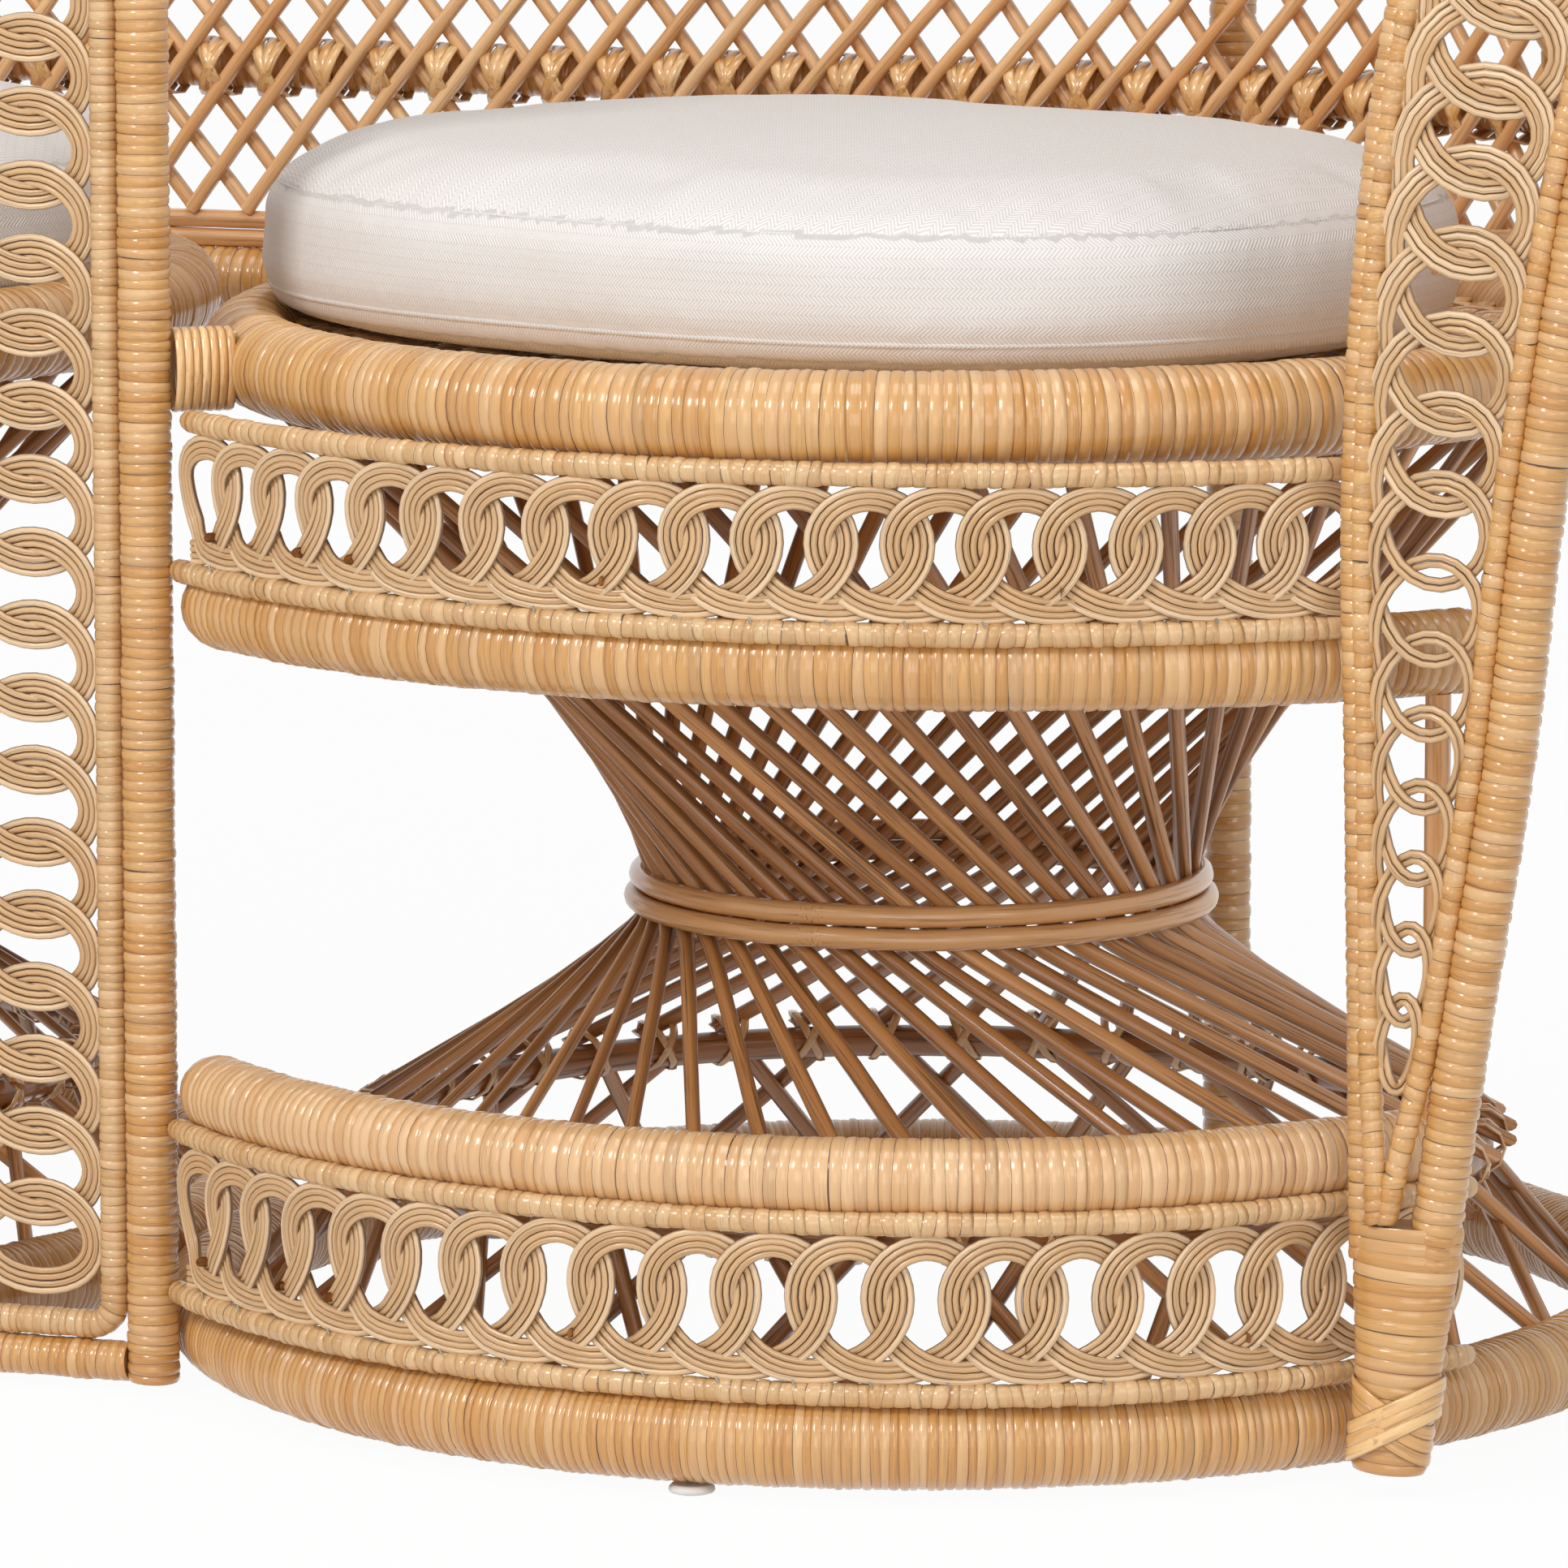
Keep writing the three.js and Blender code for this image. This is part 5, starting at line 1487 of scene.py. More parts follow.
@dataclass
class Border:
    """Two wound poles with a rim in front of each and running loops between them.

    Args:
        path: The border's path.
        inner_radius: Radius of the pole on the fan's side.
        outer_radius: Radius of the other pole.
        rim_radius: Radius of the rims.
        inner_step: How far the inner rim lies from its pole, and how much further at the floor.
        outer_step: The same of the outer rim.
        hidden: How far both poles run on into the legs.
        loops_from: Where the loops start, along the path.
        third_strand: Where the bundle starts to widen for its third strand.
        joins: Heights between which the third strand joins, and then the fourth.
        starts: Height from which each strand is there.
        chain: The loops.
    """

    path: BorderPath
    inner_radius: float = 5.8 * MM
    outer_radius: float = 9.1 * MM
    rim_radius: float = 4.3 * MM
    inner_step: tuple[float, float] = (2.6 * MM, 3.6 * MM)
    outer_step: tuple[float, float] = (11.4 * MM, 4.6 * MM)
    hidden: float = 12 * MM
    loops_from: float = 38 * MM
    third_strand: float = 215 * MM
    joins: tuple[tuple[float, float], ...] = ((0.31, 0.35), (0.385, 0.425))
    starts: tuple[float, ...] = (0.0, 0.0, 0.33, 0.405)
    chain: LoopChain = field(default_factory=lambda: LoopChain(pitch=27.0 * MM, steps=24, strand=2.6 * MM))

    def bar(self, offset: Callable[[np.ndarray], np.ndarray], first: float, out: Any = None) -> Line:
        """A bar along the whole border at an offset from its middle line."""
        near, far = 300 * MM, self.path.length - 300 * MM
        s = np.concatenate([np.linspace(first, near, 40), np.linspace(near, far, 220)[1:-1],
                            np.linspace(far, self.path.length - first, 40)])
        lift = np.zeros_like(s) if out is None else out(s)
        return Line(self.path.at(s, offset(s), lift), self.path.facing(s))

    def floor_share(self, s: np.ndarray) -> np.ndarray:
        """1 at the wings' lower ends, 0 from a hand's breadth above them."""
        near = np.minimum(s, self.path.length - s)
        return 1 - smoothstep(near, 0.0, 75 * MM)

    def inner_rim(self, s: np.ndarray) -> np.ndarray:
        """Offset of the inner rim, which leaves its pole near the floor to meet the outer rim."""
        return -self.path.half(s) + self.inner_step[0] + self.inner_step[1] * self.floor_share(s)

    def outer_rim(self, s: np.ndarray) -> np.ndarray:
        """Offset of the outer rim."""
        return self.path.half(s) - self.outer_step[0] - self.outer_step[1] * self.floor_share(s)

    def build(self, shop: Workshop) -> None:
        """Makes the poles, rims and loops, and the legs under the wings."""
        half = self.path.half
        inner = sunk(self.bar(lambda s: -half(s), 0.0), self.hidden)
        shop.wound("inner_pole", inner, self.inner_radius, 4.4 * MM, ["border_pole_inner"], sides=12, vary=0.6)
        outer = sunk(self.bar(half, 0.0), self.hidden)
        outer.girth = np.interp(outer.points[:, 2], [90 * MM, 260 * MM], [0.97, 1.0])
        shop.wound("outer_pole", outer, self.outer_radius, 4.0 * MM, ["border_pole_outer"], sides=14)
        front = lambda s: 2.6 * MM + 4.6 * MM * self.floor_share(s)
        side = lambda s: 3.0 * MM + 4.0 * MM * self.floor_share(s)
        for name, offset, lift, node in (("inner_rim", self.inner_rim, front, "border_rim_inner"),
                                         ("outer_rim", self.outer_rim, side, "border_rim_outer")):
            rim = rounded_ends(self.bar(offset, 1.5 * MM, lift), 4 * MM)
            shop.wound(name, rim, self.rim_radius, 4.4 * MM, [node], sides=9, ridge=0.0004, vary=1.4)
        self.loops(shop)
        on_both(lambda side: WingLeg().build(shop, side))

    def loops(self, shop: Workshop) -> None:
        """Makes the chain of loops: two strands near the floor, then three and four."""
        length = self.path.length - 2 * self.loops_from
        along = lambda s: self.path.length - self.loops_from - s
        low = lambda s: self.inner_rim(along(s)) + self.rim_radius * 0.35
        high = lambda s: self.outer_rim(along(s)) - self.rim_radius * 0.35
        near = lambda s: np.minimum(s, length - s)
        wider = (self.third_strand, self.third_strand + 110 * MM)
        bundle = lambda s: self.chain.strand * (1.2 + 0.7 * smoothstep(near(s), 40 * MM, 110 * MM)
                                                + 1.6 * smoothstep(near(s), *wider))
        half = lambda s: np.maximum((high(s) - low(s) - bundle(s)) / 2, 1.6 * MM)
        line = self.chain.line(
            length, half,
            lambda s, across, out: self.path.at(along(s), across + (high(s) + low(s)) / 2, out + 3.6 * MM),
            lambda s: self.path.facing(along(s)),
            pace=lambda s: 0.9 + 0.1 * smoothstep(near(s), 60 * MM, 260 * MM),
        )
        tangent = unit(np.gradient(line.points, axis=0))
        across = unit(np.cross(tangent, line.facing))
        place = (line.spread * self.chain.strand * 0.98)[:, None]
        height = line.points[:, 2]
        number = 2 + sum(smoothstep(height, *join) for join in self.joins)
        lines = []
        for k, start in enumerate(self.starts):
            shifted = line.points + across * place * (k - (number - 1) / 2)[:, None]
            keep = height > start
            run = shifted[keep]
            breaks = np.nonzero(np.linalg.norm(np.diff(run, axis=0), axis=1) > 30 * MM)[0] + 1
            for part, face in zip(np.split(run, breaks), np.split(line.facing[keep], breaks)):
                if len(part) > 4:
                    lines.append(Line(part, face))
        shop.strands("border_loop_strands", lines, self.chain.strand, ["border_loops"], Slot.CORE, shop.finish.core,
                     sides=7, wander=0.0006)


@dataclass
class WingLeg:
    """The wound leg under a wing, which narrows towards the floor, and its crossing bindings.

    Args:
        shape: Heights, with how far out its middle stands there and half of its width.
        top: Height of its upper end.
        radius: Radius that its winding is made at.
        flat: Heights, and its depth there as a share of its width.
        binding: Height of the bindings' middle.
        strip: Width of a binding's strip.
    """

    shape: tuple[tuple[float, float, float], ...] = (
        (8, 0.9, 13.0), (30, 3.2, 14.1), (55, 5.0, 16.2), (88, 7.0, 19.6), (96, 7.2, 19.9),
    )
    top: float = 93 * MM
    radius: float = 18 * MM
    flat: tuple[tuple[float, float], ...] = ((50 * MM, 0.76), (88 * MM, 0.48))
    binding: float = 26 * MM
    strip: float = 5 * MM

    def build(self, shop: Workshop, side: Side) -> None:
        """Makes the leg of one wing and its bindings."""
        tail = side.tail
        low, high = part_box("wing_leg" + tail)
        middle = (low + high) / 2
        levels, lean, girth = np.array(self.shape).T * MM
        z = np.linspace(low.z, self.top, 26)
        points = xyz(middle.x + np.interp(z, levels, lean) * side.value, middle.y, z)
        line = rounded_ends(aimed(points, FRONT), 3 * MM, 0.8)
        line.girth[line.points[:, 2] > 50 * MM] = 1.0
        line.girth *= np.interp(line.points[:, 2], z, np.interp(z, levels, girth)) / self.radius
        leg = shop.wound("wing_foot" + tail, line, self.radius, 4.4 * MM, ["wing_leg" + tail], sides=28)
        co = coordinates(leg.data)
        co[:, 1] = middle.y + (co[:, 1] - middle.y) * np.interp(co[:, 2], *zip(*self.flat))
        move_points(leg.data, co)
        wraps = []
        for slant in (-1.0, 1.0):
            for lift in (-4.6 * MM, 0.0, 4.6 * MM):
                phase = turns(28)
                level = self.binding + lift + slant * np.sin(phase) * 8.5 * MM
                reach = np.interp(level, levels, girth) + (0.9 + slant * 0.6) * MM
                centre = middle.x + np.interp(level, levels, lean) * side.value
                ring = xyz(centre + reach * np.sin(phase), middle.y - reach * 0.8 * np.cos(phase), level)
                wraps.append(Line(ring, xyz(np.sin(phase), -np.cos(phase), 0.0), closed=True))
        shop.strands("foot_binding" + tail, wraps, self.strip, [], Slot.WRAP, shop.finish.strip, thick=1.3 * MM,
                     sides=8)


@dataclass
class Shell:
    """Sill rods, rails, lattice and fan behind the seats.

    Args:
        axis: The right seat's axis.
        path: The border's path.
    """

    # Places along the sill, called q below, run from -1 at the left wing to 1 at the right.

    axis: SeatAxis
    path: BorderPath
    radius: float = 285 * MM
    sweep: float = math.radians(124)
    sill_z: float = 364 * MM
    rise: float = 51 * MM
    rod_step: float = 7.3 * MM
    rod_width: float = 7.2 * MM
    rail_radius: float = 12.6 * MM
    rail_reach: float = 0.72
    ring_radius: float = 9 * MM
    ring_height: float = 57 * MM
    fan_rail_z: float = 590 * MM
    fan_start: float = 520 * MM
    columns: int = 71
    rows: int = 7
    net_end: float = 0.94
    net_width: float = 5.9 * MM
    net_layer: float = 2.7 * MM
    fan_ribs: int = 17
    fan_reach: float = 0.82
    rib_width: float = 5.2 * MM

    def sill(self, q: Any, lift: Any, out: Any = 0.0) -> np.ndarray:
        """Points over the sill, at a lift above it and a distance behind it."""
        q = np.asarray(q, float)
        radius = self.radius + np.asarray(out)
        total = self.axis.x + self.sweep * self.radius
        a = np.abs(q) * total
        turn = np.maximum(a - self.axis.x, 0) / self.radius
        x = np.where(a < self.axis.x, a, self.axis.x + radius * np.sin(turn)) * np.sign(q)
        y = self.axis.y + radius * np.cos(turn)
        z = self.sill_z + self.rise * smoothstep(turn, math.radians(45), self.sweep) + lift
        return xyz(x, y, z)

    def surface(self, q: Any, share: Any) -> np.ndarray:
        """Points of the fan's surface: share 0 at the sill, 1 at the inner pole."""
        q = np.asarray(q, float)
        s = (self.path.length - self.fan_start) + (2 * self.fan_start - self.path.length) * (q + 1) / 2
        high = self.path.at(s, -self.path.half(s))
        low = self.sill(q, self.rod_step + 3.3 * MM)
        share = np.asarray(share)[..., None]
        return low + (high - low) * share

    def share_at(self, q: Any, z: Any) -> np.ndarray:
        """The share at which the surface reaches a height."""
        low = self.surface(q, np.zeros_like(q))[..., 2]
        high = self.surface(q, np.ones_like(q))[..., 2]
        return (z - low) / (high - low)

    def normal(self, q: np.ndarray, share: np.ndarray) -> np.ndarray:
        """Directions out of the surface, to the front."""
        d = 0.004
        across = self.surface(q + d, share) - self.surface(q - d, share)
        upward = self.surface(q, share + d) - self.surface(q, share)
        return unit(np.cross(across, upward))

    def over(self, q: np.ndarray, z: np.ndarray, out: float) -> Line:
        """A path over the surface at given heights."""
        share = self.share_at(q, z)
        face = self.normal(q, share)
        return Line(self.surface(q, share) + face * out, face)

    def build(self, shop: Workshop) -> None:
        """Makes the rods, rails, lattice, ties and fan."""
        q = np.linspace(-1, 1, 200)
        for name, node, lift in (("sill_rod_low", "sill_rod_lower", 0.0),
                                 ("sill_rod_high", "sill_rod_upper", self.rod_step)):
            shop.strands(name, [aimed(self.sill(q, lift), UP)], self.rod_width, [node], Slot.ROD, shop.finish.lattice,
                         sides=10, wander=0.0008)
        rail = aimed(self.sill(np.linspace(-self.rail_reach, self.rail_reach, 160), -16.0 * MM), UP)
        shop.wound("shell_rail", rounded_ends(rail, 10 * MM), self.rail_radius, 4.8 * MM, ["back_rail"], sides=18)
        q = np.linspace(-self.net_end, self.net_end, 200)
        ring = self.over(q, self.mid_z(q), -(self.ring_radius + 4.4 * MM))
        shop.wound("shell_ring", rounded_ends(ring, 8 * MM), self.ring_radius, 4.6 * MM, ["mid_rail"], sides=16)
        self.lattice(shop)
        self.fan(shop)

    def mid_z(self, q: np.ndarray) -> np.ndarray:
        """Height of the wound ring behind the lattice."""
        return self.surface(q, np.zeros_like(q))[..., 2] + self.ring_height

    def lattice(self, shop: Workshop) -> None:
        """Makes the two layers of crossing rods and the ties on the ring."""
        step = 2 * self.net_end / self.columns
        rods = []
        t = np.linspace(0, 1, 22)
        for lean in (-1, 1):
            for i in range(-self.rows, self.columns + self.rows + 1):
                start = -self.net_end + i * step
                q = start + lean * t * step * self.rows
                inside = np.abs(q) <= self.net_end
                if inside.sum() < 4:
                    continue
                q = q[inside]
                low = self.surface(q, np.zeros_like(q))[..., 2] + 0.5 * MM
                high = self.fan_rail_z - 4 * MM
                rods.append(self.over(q, low + (high - low) * t[inside], lean * self.net_layer))
        shop.strands("lattice_rods", rods, self.net_width, ["lattice"], Slot.ROD, shop.finish.lattice, sides=7,
                     wander=0.0012)
        ties: list[Line] = []
        for i in range(self.columns):
            q = np.array([-self.net_end + (i + 0.5) * step])
            base = self.over(q, self.mid_z(q), 0.0)
            ties += self.ring_tie(base.points[0], base.facing[0], i)
        shop.strands("lattice_ties", ties, 5.0 * MM, [], Slot.CORE, shop.finish.strip, thick=1.1 * MM, sides=6)

    def ring_tie(self, centre: np.ndarray, face: np.ndarray, i: int) -> list[Line]:
        """Turns of strip that bind a crossing of the lattice to the ring behind it."""
        level = unit(np.cross(UP, face))
        rise = np.cross(face, level)
        return [strip_turn(centre - face * 6.5 * MM, face * 13.2 * MM, rise * 11.5 * MM, level * lean * 14 * MM, 14,
                           0.2 * (i % 3)) for lean in (-0.4, 0.0, 0.35)]

    def fan(self, shop: Workshop) -> None:
        """Makes the fan above the lattice: two rails and pairs of ribs."""
        q = np.linspace(-self.net_end, self.net_end, 200)
        rail = self.over(q, np.full_like(q, self.fan_rail_z), 0.0)
        shop.wound("fan_rail", rounded_ends(rail, 6 * MM), 7 * MM, 4.8 * MM, ["fan"], sides=14)
        q = np.linspace(-self.fan_reach, self.fan_reach, 180)
        arch = self.over(q, self.above(q, 0.6), 0.0)
        shop.wound("fan_arch", rounded_ends(arch, 5 * MM), 5.4 * MM, 4.8 * MM, [], sides=12)
        ribs = []
        t = np.linspace(0.0, 1.0, 16)
        for i in range(self.fan_ribs):
            middle = self.fan_reach * (i / (self.fan_ribs - 1) * 2 - 1)
            for lean in (-1, 1):
                qs = np.clip(middle + lean * 0.007 * np.cos(t * math.pi * 2), -0.97, 0.97)
                share = self.share_at(qs, np.full_like(qs, self.fan_rail_z))
                share = share + (0.985 - share) * t
                face = self.normal(qs, share)
                ribs.append(Line(self.surface(qs, share) + face * lean * 2.4 * MM, face))
        shop.strands("fan_ribs", ribs, self.rib_width, [], Slot.ROD, shop.finish.lattice, sides=7, wander=0.0012)

    def above(self, q: np.ndarray, share: float) -> np.ndarray:
        """Heights at a share of the way from the fan's rail to the inner pole."""
        top = self.surface(q, np.ones_like(q))[..., 2]
        return self.fan_rail_z + (top - self.fan_rail_z) * share


# The middle of the chair


@dataclass
class MiddlePanel:
    """Wound hoop between the seats with its rim, foot rail and chain of loops, and the armrest over it."""

    post_x: float = 47 * MM
    post_radius: float = 9.4 * MM
    rim_radius: float = 5.2 * MM
    top: float = 640 * MM
    foot: float = 4 * MM
    rail_z: float = 10.5 * MM
    rail_radius: float = 7.4 * MM
    corner: float = 9 * MM
    chain: LoopChain = field(default_factory=lambda: LoopChain(pitch=25.6 * MM))

    def arch(self, x: float, low: float, y: float, steps: int = 40) -> np.ndarray:
        """Up one side, over the top and down the other."""
        spring = self.top - self.post_x
        a = np.linspace(0, math.pi, steps)
        over = xyz(x * np.cos(a), y, spring + x * np.sin(a))
        up = straight((x, y, low), (x, y, spring), 30)[:-1]
        down = straight((-x, y, spring), (-x, y, low), 30)[1:]
        return np.vstack([up, over, down])

    def build(self, shop: Workshop) -> None:
        """Makes the panel's pieces."""
        low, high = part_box("middle_hoop")
        y = (low.y + high.y) / 2
        hoop = self.arch(self.post_x, self.foot, y)
        shop.wound("panel_hoop", rounded_ends(aimed(hoop, FRONT), 2.5 * MM, 0.8), self.post_radius,
                   3.6 * MM, ["middle_hoop"], sides=20)
        rim_x = self.post_x - self.post_radius - self.rim_radius
        rim_low = self.rail_z + self.rail_radius + self.rim_radius
        corner = self.corner
        side = self.arch(rim_x, rim_low + corner, y)
        a = np.linspace(math.pi, 1.5 * math.pi, 7)[1:]
        left = xyz(-rim_x + corner + corner * np.cos(a), y, rim_low + corner + corner * np.sin(a))
        right = left[::-1] * np.array([-1, 1, 1])
        rim = np.vstack([side, left, right])
        shop.wound("panel_rim", aimed(rim, FRONT, closed=True), self.rim_radius, 3.2 * MM,
                   ["middle_rim"], sides=12, ridge=0.0004, finish=shop.finish.rim)
        reach = self.post_x - self.post_radius * 0.9
        rail = straight((-reach, y, self.rail_z), (reach, y, self.rail_z), 12)
        shop.wound("panel_foot_rail", aimed(rail, FRONT), self.rail_radius, 3.6 * MM,
                   ["middle_foot_rail"], sides=16)
        self.loops(shop, y, rim_x, rim_low)
        self.armrest(shop)

    def loops(self, shop: Workshop, y: float, rim_x: float, rim_low: float) -> None:
        """Makes the chain of loops up the panel's middle."""
        bottom = rim_low + self.rim_radius
        length = self.top - self.post_x + rim_x - self.rim_radius - bottom
        half = rim_x - self.rim_radius * 0.7 - self.chain.strand * self.chain.strands * self.chain.squeeze / 2
        line = self.chain.line(
            length, lambda s: half * np.minimum(1.0, 0.45 + s / (45 * MM)),
            lambda s, across, out: xyz(across, y - out, bottom + length - s),
            lambda s: aimed(s, FRONT).facing,
        )
        shop.strands("panel_loops", [line], self.chain.strand, ["middle_loops"], Slot.CORE, shop.finish.core,
                     strands=self.chain.strands, spacing=self.chain.strand * 0.98, wander=0.0006)

    def armrest(self, shop: Workshop) -> None:
        """Makes the wound armrest between the seats."""
        low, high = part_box("armrest")
        z = (low.z + high.z) / 2
        points = straight((0, low.y, z), (0, high.y, z), 24)
        line = rounded_ends(aimed(points, UP), 9 * MM, 0.5)
        shop.wound("arm_rail", line, (high.z - low.z) / 2, 4.8 * MM, ["armrest"], sides=18)


def rear_stay(shop: Workshop, side: Side) -> None:
    """Makes the wound post behind the shell."""
    tail = side.tail
    low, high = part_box("rear_stay" + tail)
    middle = (low + high) / 2
    points = straight((middle.x, middle.y, low.z), (middle.x, middle.y, high.z), 24)
    line = rounded_ends(aimed(points, FRONT), 3 * MM, 0.8)
    shop.wound("rear_post" + tail, line, 9.2 * MM, 5.0 * MM, ["rear_stay" + tail], sides=16)


# Cushions


@dataclass
class Cushion:
    """A filled box cushion with piped seams, puffed by a cloth simulation.

    Args:
        side: The half of the chair that it lies in.
        half_w: Half of its width.
        half_d: Half of its depth.
        power: How square its outline is: 2 is an ellipse.
        turn: How far the right cushion is turned.
        shift: Where the right cushion's middle lies from the seat's axis.
        seams: Heights of the two seams.
        press: How deep each seam lies, as a share of the outline's reach.
        cords: Thickness of the piping on each seam.
        girdle: Radius at which the weave of the side is laid out.
        cap: How far the filling moves a point at most.
        voxel: Size of the cover's faces before the last division.
        frames: Steps of the cloth simulation.
    """

    side: Side
    half_w: float = 221 * MM
    half_d: float = 182 * MM
    power: float = 2.4
    turn: float = math.radians(-20)
    shift: tuple[float, float] = (-19 * MM, -17 * MM)
    seams: tuple[float, float] = (13.5 * MM, 50 * MM)
    press: tuple[float, float] = (0.009, 0.004)
    cords: tuple[float, float] = (2.4 * MM, 0.9 * MM)
    girdle: float = 210 * MM
    cap: float = 4 * MM
    voxel: float = 5.5 * MM
    frames: int = 20

    def __post_init__(self) -> None:
        """Reads the cushion's place from the frame."""
        low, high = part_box("cushion" + self.side.tail)
        axis = SeatAxis()
        self.centre = Vector(((axis.x + self.shift[0]) * self.side.value, axis.y + self.shift[1], low.z))
        self.height = high.z - low.z
        self.angle = self.turn * self.side.value

    def own(self, co: np.ndarray) -> tuple[np.ndarray, np.ndarray, np.ndarray]:
        """Positions along the cushion's own width, depth and height."""
        x, y = co[:, 0] - self.centre.x, co[:, 1] - self.centre.y
        c, s = math.cos(self.angle), math.sin(self.angle)
        return x * c + y * s, y * c - x * s, co[:, 2] - self.centre.z

    def polar(self, mesh: bpy.types.Mesh) -> tuple[np.ndarray, ...]:
        """Each point's own position, its direction and its share of the outline's reach."""
        x, y, z = self.own(coordinates(mesh))
        angle = np.arctan2(x, -y)
        return x, y, z, angle, np.hypot(x, y) / self.reach(angle)

    def placed(self, x: np.ndarray, y: np.ndarray, z: np.ndarray) -> np.ndarray:
        """Positions in the chair from positions along the cushion's own width, depth and height."""
        c, s = math.cos(self.angle), math.sin(self.angle)
        return xyz(self.centre.x + x * c - y * s, self.centre.y + x * s + y * c, self.centre.z + z)

    def reach(self, angle: np.ndarray) -> np.ndarray:
        """Radius of the outline, a soft square, in each direction."""
        w = np.abs(np.sin(angle) / self.half_w) ** self.power
        d = np.abs(np.cos(angle) / self.half_d) ** self.power
        return (w + d) ** (-1 / self.power)

    def ring(self, share: float, z: float, count: int) -> np.ndarray:
        """Points of the outline drawn in to a share, at a height."""
        a = turns(count)
        r = self.reach(a) * share
        return self.placed(r * np.sin(a), -r * np.cos(a), z)

    def form(self) -> bpy.types.Object:
        """The sewn cover before it is filled out, in even faces."""
        low, high = self.seams
        top = self.height - 3 * MM
        profile = [(0.3, 0.0), (0.6, 0.0), (0.84, 0.6 * MM), (0.925, 3.5 * MM), (0.968, 8 * MM), (0.985, low),
                   (0.994, 20 * MM), (1.0, 31 * MM), (0.998, 40 * MM), (0.988, high - 3 * MM), (0.975, high + 1 * MM),
                   (0.955, high + 5 * MM), (0.905, high + 9.5 * MM), (0.79, high + 14 * MM), (0.5, top - 4 * MM),
                   (0.22, top - 2.5 * MM)]
        name = "seat_cushion" + self.side.tail
        made = linked(name, stacked_rings(name, [self.ring(share, z, 96) for share, z in profile]))
        remesh = made.modifiers.new("even", "REMESH")
        remesh.mode = "VOXEL"
        remesh.voxel_size = self.voxel
        self.apply(made)
        return made

    def puff(self, piece: bpy.types.Object) -> None:
        """Fills the cover out with a short cloth simulation, each point's motion capped.

        Args:
            piece: The cover, whose mesh is changed.
        """
        start = coordinates(piece.data)
        cloth = piece.modifiers.new("fill", "CLOTH")
        cloth.settings.use_pressure = True
        cloth.settings.uniform_pressure_force = 4.0
        cloth.settings.quality = 5
        cloth.settings.mass = 0.3
        cloth.settings.effector_weights.gravity = 0.0
        cloth.point_cache.frame_start = 1
        cloth.point_cache.frame_end = self.frames
        for step in range(1, self.frames + 1):
            bpy.context.scene.frame_set(step)
        self.apply(piece)
        bpy.context.scene.frame_set(1)
        move = coordinates(piece.data) - start
        far = np.linalg.norm(move, axis=1, keepdims=True)
        height = (start[:, 2:] - self.centre.z) / self.height
        limit = self.cap * (0.15 + 0.85 * smoothstep(height, 0.1, 0.5))
        move_points(piece.data, start + move * np.minimum(1.0, limit / np.maximum(far, 1e-9)))

    def apply(self, piece: bpy.types.Object) -> None:
        """Turns the evaluated shape into the piece's own mesh."""
        mesh = finished_mesh(piece)
        piece.modifiers.clear()
        piece.data = mesh

    def shape(self, piece: bpy.types.Object) -> None:
        """Presses the seams in, adds the soft dents of the photographed cover and keeps the box."""
        x, y, z, angle, share = self.polar(piece.data)
        push = np.ones_like(x)
        for seam, depth in zip(self.seams, self.press):
            push -= depth * np.exp(-(((z - seam) / (2.6 * MM)) ** 2)) * smoothstep(share, 0.9, 0.97)
        side_wave = np.sin(angle * 9 + 0.6) * np.sin(angle * 5) * smoothstep(share, 0.9, 1.0)
        push += side_wave * np.exp(-(((z - 32 * MM) / (11 * MM)) ** 2)) * 0.006
        upper = smoothstep(z, 52 * MM, 62 * MM) * (1 - smoothstep(share, 0.86, 1.0))
        z = z + upper * np.sin(x * 21 + y * 9) * np.sin(y * 17 - x * 6 + 1.3) * 1.3 * MM
        z = np.clip(z, 0.0, self.height + 6 * MM)
        move_points(piece.data, self.placed(x * push, y * push, z))

    def lay_cloth(self, mesh: bpy.types.Mesh, flat_top: bool) -> None:
        """Writes where each point lies on the flat cloth, for the weave.

        Args:
            mesh: The cover or the piping.
            flat_top: True for the cover, whose top and bottom are cut flat.
        """
        x, y, z, angle, share = self.polar(mesh)
        top = flat_top & ((z > self.seams[1]) | ((z < self.seams[0]) & (share < 0.95)))
        first, second = np.where(top, y, angle * self.girdle), np.where(top, x, z)
        write_row(mesh, "cloth", xyz(first, second, 0.0))

    def build(self, shop: Workshop) -> None:
        """Makes the cushion and its piping."""
        piece = self.form()
        self.puff(piece)
        self.shape(piece)
        smooth = piece.modifiers.new("smooth", "SUBSURF")
        smooth.levels = smooth.render_levels = 1
        self.apply(piece)
        self.lay_cloth(piece.data, True)
        piece.data.materials.clear()
        piece.data.materials.append(shop.finish.cotton)
        piece.data.shade_smooth()
        node = "cushion" + self.side.tail
        body = node + "_body"
        shop.keep(piece, Slot.COTTON, [node], body)
        self.piping(shop, piece, body)

